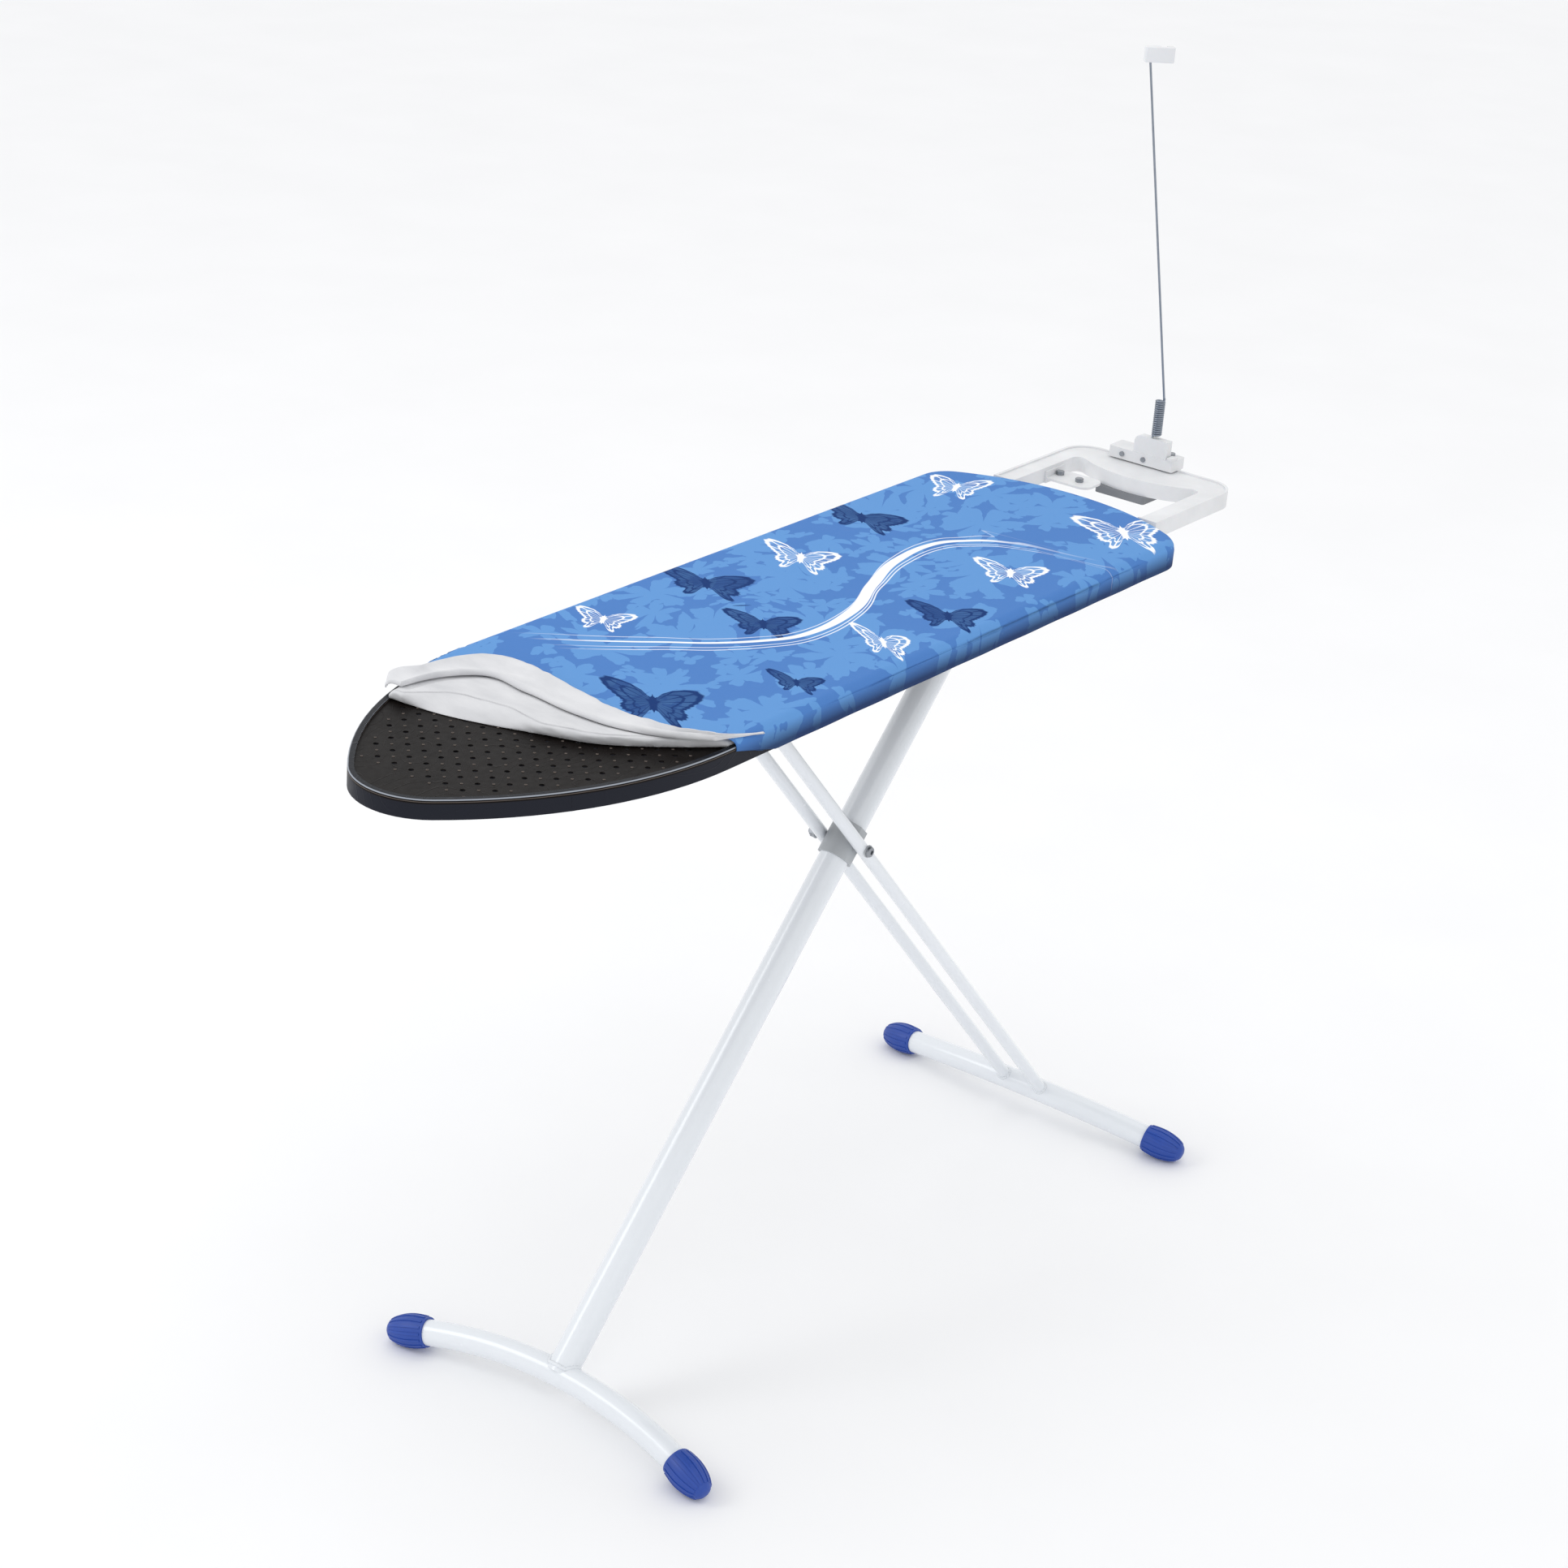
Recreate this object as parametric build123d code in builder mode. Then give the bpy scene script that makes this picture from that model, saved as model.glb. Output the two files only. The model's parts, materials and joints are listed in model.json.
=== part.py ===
"""Folding ironing board with a moulded iron rest and a sprung flex holder.

Sizes are millimetres. X runs along the board, with the nose at -X and the iron
rest at +X. Y runs across it and Z is up. The origin lies on the floor, midway
between the nose and the back of the flex holder's clamp.
"""

import os
from math import cos, radians, sin, sqrt

from build123d import *

os.makedirs("parts", exist_ok=True)

# Board: a moulded, perforated tray with a raised rim.
board_length = 1314.6
board_width = 376.0
board_depth = 22.4
board_wall = 3.0
rim_width = 7.0
rim_round = 2.4
deck_recess = 3.4
deck_thickness = 3.0
nose_length = 340.0
nose_side_radius = 450.0
rear_bow = 60.0
rear_corner_radius = 55.0
rib_thickness = 2.0
hole_radius = 3.0
hole_pitch_x = 22.4
hole_pitch_y = 23.5
first_hole_from_nose = 46.5
open_nose_length = 430.0
vent_step = 2
rib_rows = (-6, -3, 0, 3, 6)
rib_columns = range(3, 58, 8)
boss_radius = 5.5

# Cover and felt.
ironing_height = 924.0
cover_thickness = 1.4
pad_thickness = 9.2
soft_gap = 0.2
skirt_gap = 0.4
hem_width = 16.0
flap_thickness = 13.0
flap_width = 62.0

# Legs: a single thick front leg crosses a pair of thin rear tubes.
leg_angle = 47.0
upper_leg = 392.4
hinge_drop = 24.0
pivot_from_nose = 839.9
front_tube_radius = 19.0
front_tube_wall = 1.5
rear_tube_radius = 8.15
rear_tube_wall = 1.2
rear_tube_overrun = 14.0

# Feet.
foot_tube_radius = 16.0
foot_tube_wall = 1.5
front_foot_length = 497.0
front_foot_bow = 35.0
front_foot_height = 21.0
rear_foot_length = 504.5
rear_foot_bow = 20.0
rear_foot_height = 20.4
cap_overlap = 25.0
cap_reach = 32.0
cap_flare = 4.2
cap_rib_height = 0.9
cap_rib_width = 3.4
cap_rib_count = 14

# Hinges, fits and fasteners.
running_gap = 0.05
screw_clearance = 0.3
seat_gap = 0.02
face_gap = 0.3
hinge_pin_radius = 6.0
hinge_sleeve_wall = 4.95
hinge_sleeve_half = 35.5
hinge_ear_thickness = 3.0
sheet_thickness = 2.5
bracket_length = 86.0
bracket_width = 138.0
bracket_screw_y = 60.0
bracket_screw_inset = 9.0
hinge_ear_radius = 13.0
hinge_pin_head = 3.0
hinge_pin_head_height = 3.2
hinge_pin_end = 3.5
hinge_clip_inset = 2.2
hinge_clip_thickness = 1.2
corner_round = 8.0
pivot_bolt_radius = 4.0
pivot_bush_wall = 1.95
pivot_washer_thickness = 1.5
pivot_washer_radius = 8.0
pivot_head_radius = 6.8
pivot_head_height = 4.6
pivot_head_round = 2.6
pivot_socket_radius = 3.0
pivot_socket_depth = 2.6
pivot_thread_end = 3.0
pivot_nut_flats = 13.0
pivot_nut_height = 6.5
collar_wall = 3.4
collar_side_wall = 1.61
collar_side_gap = 0.1
collar_length = 46.0
screw_radius = 1.6
screw_head_radius = 4.0
screw_head_height = 2.4
screw_bite = 11.0
screw_slot = 0.9
screw_slot_depth = 1.3
screw_tip_room = 1.4

# Rails and shoes under the nose half, and the cross rod that slides in them.
rod_radius = 5.0
rail_inner = 64.0
rail_web = 80.0
rail_sheet = 2.0
rail_flange = 14.0
rail_end_margin = 28.0
shoe_length = 30.0
shoe_half_height = 7.7
steepest_angle = 51.0

# Release lever.
lever_from_nose = 533.0
lever_pivot_y = 109.0
lever_pivot_drop = 32.6
lever_pin_radius = 3.0
lever_hub_radius = 6.5
lever_plate_setback = 3.0
lever_plate_width = 22.0
lever_plate_round = 4.0
lever_screw_x = 14.0
lever_screw_y = 6.0
lever_ear_radius = 8.0
lever_pin_end = 1.5
lever_spring_gap = 0.6
lever_spring_radius = 4.6
lever_spring_wire = 0.8
lever_spring_turns = 10
lever_grip_corner = 12.0
lever_grip_round = 2.0
lever_hub_short = 17.0
pawl_end_margin = 12.0
pawl_notch_clearance = 3.0
lever_half_width = 22.0
lever_strap = 3.0
lever_grip_y = 158.0
lever_grip_width = 36.0
lever_grip_length = 92.0
lever_grip_thickness = 8.0
pawl_y = 50.5
pawl_length = 268.0
pawl_notches = 7
pawl_notch_pitch = 34.0

# Iron rest, its bracket and its clamp.
rest_half_width = 125.0
rest_arm_width = 28.0
rest_reach = 197.0
rest_corner_radius = 38.0
rest_depth = 22.5
rest_top_below_cover = 5.5
rest_wall = 3.0
rest_lip_height = 2.0
rest_lip_width = 4.0
rest_bar_corner = 42.0
rest_bar_middle = 76.0
rest_board_gap = 1.5
tenon_length = 46.0
tenon_width = 20.0
tenon_height = 10.0
tenon_gap = 0.3
brace_width = 66.0
brace_length = 46.0
brace_from_board = 70.0
brace_rise = 8.0
brace_thickness = 3.0
brace_upstand = 16.0
brace_corner = 14.0
brace_bolt_spots = ((25.0, 9.0), (19.0, 43.0))
brace_bolt_across = 5.5
brace_bolt_head = 5.2
bolt_radius = 2.5
rest_root_length = 30.0
rest_opening_corner = 10.0
rest_screw_insets = (8.0, 22.0)
clamp_overhang = 12.4
clamp_front = 33.0
clamp_low_y = -33.0
clamp_high_y = 66.0
clamp_height = 15.0
clamp_block_low_y = -22.0
clamp_block_high_y = 29.0
clamp_block_height = 24.0
clamp_block_thickness = 12.0
jaw_low_y = -29.0
jaw_high_y = 47.0
jaw_thickness = 10.0
jaw_reach = 92.0
jaw_bolt_inset = 6.4
jaw_bolt_spacing = 48.0
jaw_bolt_head_radius = 5.2
jaw_bolt_head = 2.6
jaw_nut_radius = 4.6
jaw_nut_height = 3.2
base_screw_y = (45.0, 12.0)
base_screw_head = 1.8
clamp_round = 3.0
jaw_round = 4.0
block_shoulder = 9.0
catch_length = 14.0
catch_width = 8.0
catch_height = 4.0

# Flex holder: one spring-steel wire, coiled at its foot, with a plastic clip.
wire_radius = 1.5
coil_radius = 5.5
coil_turns = 16
coil_lift = 4.5
stub_depth = 20.0
rod_lean = 80.5
rod_back_lean = 4.0
rod_rise = 452.0
clip_width = 39.0
clip_height = 20.0
clip_thickness = 12.0
clip_slot_width = 8.6
clip_slot_depth = 7.4

# Levels and places that follow from the sizes above.
cover_underside = ironing_height - cover_thickness
rim_top = cover_underside - soft_gap - pad_thickness - soft_gap
board_bottom = rim_top - board_depth
deck_top = rim_top - deck_recess
deck_bottom = deck_top - deck_thickness
half_width = board_width / 2
cover_outset = skirt_gap + cover_thickness
hinge_z = board_bottom - hinge_drop
collar_half = front_tube_radius + collar_side_wall
rear_tube_offset = collar_half + 2 * seat_gap + collar_side_gap
rear_tube_offset += pivot_washer_thickness + rear_tube_radius
rest_top = ironing_height - rest_top_below_cover
rest_bottom = rest_top - rest_depth

nose_x = -(board_length + rest_reach + rest_board_gap + clamp_overhang) / 2
board_rear_x = nose_x + board_length
board_middle_x = nose_x + board_length / 2
pivot_x = nose_x + pivot_from_nose
leg_run = upper_leg * cos(radians(leg_angle))
pivot_z = hinge_z - upper_leg * sin(radians(leg_angle))
hinge_x = pivot_x + leg_run
slide_x = pivot_x - leg_run
folded_slide_x = hinge_x - 2 * upper_leg
steepest_slide_x = hinge_x - 2 * upper_leg * cos(radians(steepest_angle))

# Unit vectors up each leg, from its foot.
front_up = Vector(cos(radians(leg_angle)), 0, sin(radians(leg_angle)))
rear_up = Vector(-cos(radians(leg_angle)), 0, sin(radians(leg_angle)))
pivot = Vector(pivot_x, 0, pivot_z)
across = Vector(0, 1, 0)


def finish(builder, name):
    """Label a finished piece and write it to its own file."""
    builder.part.label = name
    export_step(builder.part, f"parts/{name}.step")


def rear_setback(y):
    """How far the bowed rear end stands in from its middle, at a distance y."""
    radius = (half_width**2 + rear_bow**2) / (2 * rear_bow)
    return radius - sqrt(radius**2 - y**2)


# ---------------------------------------------------------------- board plan
# The nose is a tip arc that runs into one long arc on each side, and those run
# into the straight sides.
side_centre_y = half_width - nose_side_radius
nose_tip_radius = (nose_side_radius**2 - nose_length**2 - side_centre_y**2) / (
    2 * (nose_side_radius - nose_length)
)
tip_slope = Vector(nose_tip_radius - nose_length, -side_centre_y, 0).normalized()
tip_end = Vector(nose_tip_radius, 0, 0) + tip_slope * nose_tip_radius


def nose_reach(y):
    """How far behind the nose's tip the board first reaches a distance y out."""
    if abs(y) < tip_end.Y:
        return nose_tip_radius - sqrt(nose_tip_radius**2 - y**2)
    return nose_length - sqrt(nose_side_radius**2 - (abs(y) - side_centre_y) ** 2)


def plan_half_width(x):
    """The board's half width at a place along it, ahead of its rear corners."""
    along = x - nose_x
    if along < tip_end.X:
        return sqrt(nose_tip_radius**2 - (nose_tip_radius - along) ** 2)
    if along < nose_length:
        return side_centre_y + sqrt(nose_side_radius**2 - (nose_length - along) ** 2)
    return half_width


with BuildSketch() as board_plan:
    with BuildLine():
        ThreePointArc(
            (nose_x + tip_end.X, -tip_end.Y),
            (nose_x, 0),
            (nose_x + tip_end.X, tip_end.Y),
        )
        for side in (-1, 1):
            middle = (tip_end.X + nose_length) / 2
            nose_side = ThreePointArc(
                (nose_x + tip_end.X, side * tip_end.Y),
                (nose_x + middle, side * plan_half_width(nose_x + middle)),
                (nose_x + nose_length, side * half_width),
            )
            Line(nose_side @ 1, (board_rear_x - rear_bow, side * half_width))
        ThreePointArc(
            (board_rear_x - rear_bow, half_width),
            (board_rear_x, 0),
            (board_rear_x - rear_bow, -half_width),
        )
    make_face()
    fillet(board_plan.vertices().sort_by(Axis.X)[-2:], rear_corner_radius)


def grown_plan(outset):
    """The board's plan, grown by outset, or shrunk where outset is negative."""
    with BuildSketch() as plan:
        add(board_plan.sketch)
        offset(amount=outset, kind=Kind.ARC)
    return plan.sketch


def plan_behind(far_x, middle_x, near_x):
    """Everything on the rest side of a bowed line across the board."""
    far_y = half_width + 40
    with BuildSketch() as region:
        with BuildLine():
            front = ThreePointArc((far_x, far_y), (middle_x, 0), (near_x, -far_y))
            Polyline(
                front @ 1,
                (board_rear_x + 60, -far_y),
                (board_rear_x + 60, far_y),
                front @ 0,
            )
        make_face()
    return region.sketch


# -------------------------------------------------------------- screw places
bracket_screws = [
    (hinge_x + sx * (bracket_length / 2 - bracket_screw_inset), sy * bracket_screw_y)
    for sx in (-1, 1)
    for sy in (-1, 1)
]
rail_front_x = folded_slide_x - rail_end_margin
rail_rear_x = steepest_slide_x + rail_end_margin
rail_middle_x = (rail_front_x + rail_rear_x) / 2
rail_length = rail_rear_x - rail_front_x
rail_screw_y = rail_web + rail_sheet + rail_flange / 2
rail_screws = [
    (rail_middle_x + step * (rail_length / 2 - 14), side * rail_screw_y)
    for step in (-1, 0, 1)
    for side in (-1, 1)
]
lever_x = nose_x + lever_from_nose
lever_pivot_z = board_bottom - lever_pivot_drop
lever_plate_y = lever_pivot_y + lever_plate_setback
lever_screws = [
    (lever_x + sx * lever_screw_x, lever_plate_y + sy * lever_screw_y)
    for sx in (-1, 1)
    for sy in (-1, 1)
]
arm_y = rest_half_width - rest_arm_width / 2
rest_front_x = board_rear_x - rear_setback(rest_half_width - rest_arm_width)
rest_front_x += cover_outset + rest_board_gap
tenon_x = rest_front_x - tenon_length
rest_screws = [
    (tenon_x + inset, side * arm_y) for inset in rest_screw_insets for side in (-1, 1)
]
fastenings = bracket_screws + rail_screws + lever_screws + rest_screws
tenon_top = deck_bottom - tenon_gap
tenon_bottom = tenon_top - tenon_height
screw_hole_radius = screw_radius + seat_gap


def screws(places, seat_z):
    """Pan-head screws driven up into the board from a seat at seat_z."""
    with BuildPart() as group:
        for x, y in places:
            with BuildSketch(Plane((x, y, seat_z - screw_head_height))):
                Circle(screw_head_radius)
            extrude(amount=screw_head_height)
            with BuildSketch(Plane((x, y, seat_z))):
                Circle(screw_radius)
            extrude(amount=screw_bite)
            with BuildSketch(Plane((x, y, seat_z - screw_head_height))):
                Rectangle(screw_head_radius * 1.2, screw_slot)
                Rectangle(screw_slot, screw_head_radius * 1.2)
            extrude(amount=screw_slot_depth, mode=Mode.SUBTRACT)
    return group


# --------------------------------------------------------------- board shell
def vent_points():
    """Steam holes: a close grid at the nose, every other one further back."""
    room = board_plan.sketch.face()
    reach = rim_width + hole_radius + 6
    columns = int((board_length - first_hole_from_nose) / hole_pitch_x)
    rows = int(half_width / hole_pitch_y)
    points = []
    for column in range(columns):
        x = nose_x + first_hole_from_nose + (column + 1) * hole_pitch_x
        open_nose = x < nose_x + open_nose_length
        for row in range(-rows, rows):
            y = (row + 0.5) * hole_pitch_y
            if not open_nose and (column % vent_step or row % vent_step):
                continue
            corners = [(x + dx, y + dy) for dx in (-reach, reach) for dy in (-reach, reach)]
            if not all(room.is_inside(Vector(px, py, 0)) for px, py in corners):
                continue
            if any(abs(x - fx) < 10 and abs(y - fy) < 10 for fx, fy in fastenings):
                continue
            points.append((x, y))
    return points


recess_plan = grown_plan(-rim_width)
hollow_plan = grown_plan(-board_wall)
with BuildPart() as board_shell:
    with BuildSketch(Plane.XY.offset(board_bottom)):
        add(board_plan.sketch)
    extrude(amount=board_depth)
    fillet(board_shell.edges().group_by(Axis.Z)[-1], rim_round)
    with BuildSketch(Plane.XY.offset(deck_top)):
        add(recess_plan)
    extrude(amount=deck_recess, mode=Mode.SUBTRACT)
    with BuildSketch(Plane.XY.offset(board_bottom)):
        add(hollow_plan)
    extrude(amount=deck_bottom - board_bottom, mode=Mode.SUBTRACT)
    # Ribs run between the rows of holes, and end in the wall.
    with BuildSketch(Plane.XY.offset(board_bottom)):
        for row in rib_rows:
            rib_y = row * hole_pitch_y
            front = nose_x + board_wall / 2 + nose_reach(rib_y)
            back = board_rear_x - board_wall / 2 - rear_setback(rib_y)
            with Locations(((front + back) / 2, rib_y)):
                Rectangle(back - front, rib_thickness)
        for column in rib_columns:
            rib_x = nose_x + first_hole_from_nose + (column + 0.5) * hole_pitch_x
            with Locations((rib_x, 0)):
                Rectangle(rib_thickness, 2 * plan_half_width(rib_x) - board_wall)
    extrude(amount=deck_bottom - board_bottom)
    with BuildSketch(Plane.XY.offset(board_bottom)):
        with Locations(*bracket_screws, *rail_screws, *lever_screws):
            Circle(boss_radius)
    extrude(amount=deck_bottom - board_bottom)
    with BuildSketch(Plane.XY.offset(tenon_top + tenon_gap)):
        with Locations(*rest_screws):
            Circle(boss_radius)
    extrude(amount=deck_thickness)
    # Sockets in the rear wall, and under it, for the iron rest's tenons.
    for side in (-1, 1):
        with BuildSketch(Plane((tenon_x - tenon_gap, side * arm_y, board_bottom))):
            Rectangle(
                board_length,
                tenon_width + 2 * tenon_gap,
                align=(Align.MIN, Align.CENTER),
            )
        extrude(amount=tenon_top + tenon_gap - board_bottom, mode=Mode.SUBTRACT)
    with BuildSketch(Plane.XY.offset(board_bottom)):
        with Locations(*fastenings):
            Circle(screw_hole_radius)
    extrude(amount=deck_bottom + screw_tip_room - board_bottom, mode=Mode.SUBTRACT)
    with BuildSketch(Plane.XY.offset(deck_bottom)):
        with Locations(*vent_points()):
            Circle(hole_radius)
    extrude(amount=deck_thickness, mode=Mode.SUBTRACT)
finish(board_shell, "board_shell")


# ------------------------------------------------------------- cover and felt
cover_plan = grown_plan(cover_outset)
cover_room = grown_plan(skirt_gap)
hem_room = grown_plan(skirt_gap - hem_width)
pad_plan = grown_plan(-1.0)
fold_front_far = nose_x + 171.0
fold_front_middle = nose_x + 225.0
fold_front_near = nose_x + 378.0
cover_front = plan_behind(fold_front_far + 80, fold_front_middle + 55, fold_front_near + 8)
pad_front = plan_behind(fold_front_far, fold_front_middle, fold_front_near)
flap_back = plan_behind(
    fold_front_far + 80 + flap_width,
    fold_front_middle + 55 + flap_width,
    fold_front_near + 30,
)

with BuildPart() as felt_pad:
    with BuildSketch(Plane.XY.offset(rim_top + soft_gap)):
        add(pad_plan)
        add(pad_front, mode=Mode.INTERSECT)
    extrude(amount=pad_thickness)
finish(felt_pad, "felt_pad")

# The cover is a skin over the felt, with a skirt and a hem turned under.
skirt_bottom = board_bottom - cover_thickness - skirt_gap
with BuildPart() as cover:
    with BuildSketch(Plane.XY.offset(skirt_bottom)):
        add(cover_plan)
        add(cover_front, mode=Mode.INTERSECT)
    extrude(amount=ironing_height - skirt_bottom)
    with BuildSketch(Plane.XY.offset(board_bottom - skirt_gap)):
        add(cover_room)
    extrude(amount=cover_underside - board_bottom + skirt_gap, mode=Mode.SUBTRACT)
    with BuildSketch(Plane.XY.offset(skirt_bottom)):
        add(hem_room)
    extrude(amount=board_depth, mode=Mode.SUBTRACT)
    for side in (-1, 1):
        with BuildSketch(Plane((rest_front_x - 60, side * arm_y, skirt_bottom))):
            Rectangle(120, tenon_width + 3, align=(Align.MIN, Align.CENTER))
        extrude(amount=tenon_top + 1 - skirt_bottom, mode=Mode.SUBTRACT)
finish(cover, "cover")

# The nose end of the cover, folded back on itself.
with BuildPart() as cover_flap:
    with BuildSketch(Plane.XY.offset(ironing_height + soft_gap)):
        add(cover_plan)
        add(cover_front, mode=Mode.INTERSECT)
        add(flap_back, mode=Mode.SUBTRACT)
    extrude(amount=flap_thickness)
finish(cover_flap, "cover_flap")


# ---------------------------------------------------- hinge under the rear half
ear_inner = hinge_sleeve_half + face_gap
with BuildPart() as hinge_bracket:
    with BuildSketch(Plane.XY.offset(board_bottom - sheet_thickness)):
        with Locations((hinge_x, 0)):
            RectangleRounded(bracket_length, bracket_width, corner_round)
    extrude(amount=sheet_thickness)
    for side in (-1, 1):
        ear_y = side * (ear_inner + hinge_ear_thickness)
        with BuildSketch(Plane((hinge_x, ear_y, hinge_z), x_dir=(1, 0, 0), z_dir=(0, -side, 0))):
            Circle(hinge_ear_radius)
        extrude(amount=hinge_ear_thickness)
        ear_top = board_bottom - sheet_thickness
        with BuildSketch(Plane((hinge_x, ear_y, hinge_z), x_dir=(1, 0, 0), z_dir=(0, 1, 0))):
            with Locations((0, -(ear_top - hinge_z) / 2)):
                Rectangle(2 * hinge_ear_radius, ear_top - hinge_z)
        extrude(amount=-side * hinge_ear_thickness)
    with BuildSketch(Plane((hinge_x, 0, hinge_z), x_dir=(1, 0, 0), z_dir=(0, 1, 0))):
        Circle(hinge_pin_radius + seat_gap)
    extrude(amount=bracket_width, both=True, mode=Mode.SUBTRACT)
    with BuildSketch(Plane.XY.offset(board_bottom - sheet_thickness)):
        with Locations(*bracket_screws):
            Circle(screw_radius + screw_clearance)
    extrude(amount=sheet_thickness, mode=Mode.SUBTRACT)
finish(hinge_bracket, "hinge_bracket")
finish(screws(bracket_screws, board_bottom - sheet_thickness), "hinge_screws")

pin_half = ear_inner + hinge_ear_thickness + hinge_pin_end
with BuildPart() as hinge_pin:
    with BuildSketch(Plane((hinge_x, -pin_half, hinge_z), x_dir=(1, 0, 0), z_dir=(0, 1, 0))):
        Circle(hinge_pin_radius)
    extrude(amount=2 * pin_half)
    with BuildSketch(Plane((hinge_x, -pin_half, hinge_z), x_dir=(1, 0, 0), z_dir=(0, 1, 0))):
        Circle(hinge_pin_radius + hinge_pin_head)
    extrude(amount=hinge_pin_head_height)
finish(hinge_pin, "hinge_pin")

clip_ring_y = pin_half - hinge_clip_inset
with BuildPart() as hinge_pin_clip:
    with BuildSketch(Plane((hinge_x, clip_ring_y, hinge_z), x_dir=(1, 0, 0), z_dir=(0, 1, 0))):
        Circle(hinge_pin_radius + hinge_pin_head)
        Circle(hinge_pin_radius + seat_gap, mode=Mode.SUBTRACT)
    extrude(amount=hinge_clip_thickness)
finish(hinge_pin_clip, "hinge_pin_clip")


# ------------------------------------------------------------------- the legs
def foot_arc(foot_centre, leg_up, half_span, bow):
    """The bowed centreline of a foot, in the plane of its leg."""
    normal = across.cross(leg_up)
    plane = Plane(foot_centre, x_dir=across, z_dir=normal)
    with BuildLine(plane) as line:
        ThreePointArc((half_span, 0), (0, bow), (-half_span, 0))
    return line.line


def foot_bar(line, radius, wall):
    """A bar along a foot's centreline, hollow where wall is above zero."""
    start = Plane(line @ 0, z_dir=line % 0)
    with BuildPart() as bar:
        with BuildSketch(start):
            Circle(radius)
            if wall:
                Circle(radius - wall, mode=Mode.SUBTRACT)
        sweep(path=line)
    return bar


def leg_tube(start, direction, length, radius, wall):
    """A straight tube from a point along a direction."""
    with BuildPart() as tube:
        with BuildSketch(Plane(start, x_dir=across, z_dir=direction)):
            Circle(radius)
            Circle(radius - wall, mode=Mode.SUBTRACT)
        extrude(amount=length)
    return tube


def cross_bar(centre, radius, half_length):
    """A plain bar across the board, centred on a point."""
    with BuildPart() as bar:
        with BuildSketch(Plane(centre, x_dir=(1, 0, 0), z_dir=across)):
            Circle(radius)
        extrude(amount=half_length, both=True)
    return bar.part


def ring(centre, low_y, high_y, outer, inner):
    """A ring about a line across the board, between two distances y."""
    base = Vector(centre.X, low_y, centre.Z)
    with BuildPart() as part:
        with BuildSketch(Plane(base, x_dir=(1, 0, 0), z_dir=across)):
            Circle(outer)
            Circle(inner, mode=Mode.SUBTRACT)
        extrude(amount=high_y - low_y)
    return part


def foot_cap(seat, bar):
    """A ribbed end cap on a foot's bar, trimmed flat where it meets the floor."""
    flare = foot_tube_radius + cap_flare
    profile_plane = Plane(seat.origin, x_dir=seat.x_dir, z_dir=-seat.y_dir)

    def turned(extra):
        with BuildPart() as body:
            with BuildSketch(profile_plane):
                with BuildLine():
                    side = Spline(
                        (foot_tube_radius + 2.4 + extra, -cap_overlap),
                        (flare + extra, -cap_overlap * 0.35),
                        (flare - 1.6 + extra, cap_reach * 0.33),
                        (flare - 8.0 + extra, cap_reach * 0.83),
                        (0, cap_reach + extra * 0.3),
                        tangents=[(0.12, 1), (-1, 0)],
                    )
                    Line(side @ 1, (0, -cap_overlap))
                    Line((0, -cap_overlap), side @ 0)
                make_face()
            revolve(axis=Axis(seat.origin, seat.z_dir))
        return body.part

    plain = turned(0)
    proud = turned(cap_rib_height)
    with BuildPart() as cap:
        with BuildSketch(seat.offset(-cap_overlap + 3)):
            with PolarLocations(flare - 3.2, cap_rib_count):
                Rectangle(9, cap_rib_width)
        extrude(amount=cap_overlap + cap_reach * 0.72)
        add(proud, mode=Mode.INTERSECT)
        add(plain)
        add(bar, mode=Mode.SUBTRACT)
        with BuildSketch(Plane.XY):
            with Locations((seat.origin.X, seat.origin.Y)):
                Rectangle(200, 200)
        extrude(amount=-60, mode=Mode.SUBTRACT)
    return cap


def foot(name, leg_up, foot_height, length, bow):
    """One foot: its tube, two caps and the bar that the leg tubes are cut to."""
    run = (pivot_z - foot_height) / leg_up.Z
    centre = pivot - leg_up * run
    half_span = length / 2 - cap_reach
    line = foot_arc(centre, leg_up, half_span, bow)
    tube = foot_bar(line, foot_tube_radius, foot_tube_wall)
    finish(tube, f"{name}_foot_tube")
    bar = foot_bar(line, foot_tube_radius + seat_gap, 0).part
    for end, side in ((0, "left"), (1, "right")):
        outward = (line % end) * (1 if end else -1)
        seat = Plane(line @ end, x_dir=across.cross(leg_up), z_dir=outward)
        finish(foot_cap(seat, bar), f"{name}_foot_cap_{side}")
    return bar, centre + leg_up * bow, run - bow


front_bar, front_seat, front_lower = foot(
    "front", front_up, front_foot_height, front_foot_length, front_foot_bow
)
rear_bar, rear_seat, rear_lower = foot(
    "rear", rear_up, rear_foot_height, rear_foot_length, rear_foot_bow
)

# Thick front leg, with a sleeve across its top and a bushed pivot hole.
hinge_point = Vector(hinge_x, 0, hinge_z)
sleeve_radius = hinge_pin_radius + running_gap + hinge_sleeve_wall
bush_radius = pivot_bolt_radius + running_gap + pivot_bush_wall
sleeve_bar = cross_bar(hinge_point, sleeve_radius + seat_gap, hinge_sleeve_half)
bush_bar = cross_bar(pivot, bush_radius + seat_gap, 60)
front_leg = leg_tube(
    front_seat, front_up, front_lower + upper_leg, front_tube_radius, front_tube_wall
)
with BuildPart() as front_leg_tube:
    add(front_leg.part)
    add([front_bar, sleeve_bar, bush_bar], mode=Mode.SUBTRACT)
finish(front_leg_tube, "front_leg_tube")
finish(
    ring(
        hinge_point,
        -hinge_sleeve_half,
        hinge_sleeve_half,
        sleeve_radius,
        hinge_pin_radius + running_gap,
    ),
    "hinge_sleeve",
)

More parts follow.
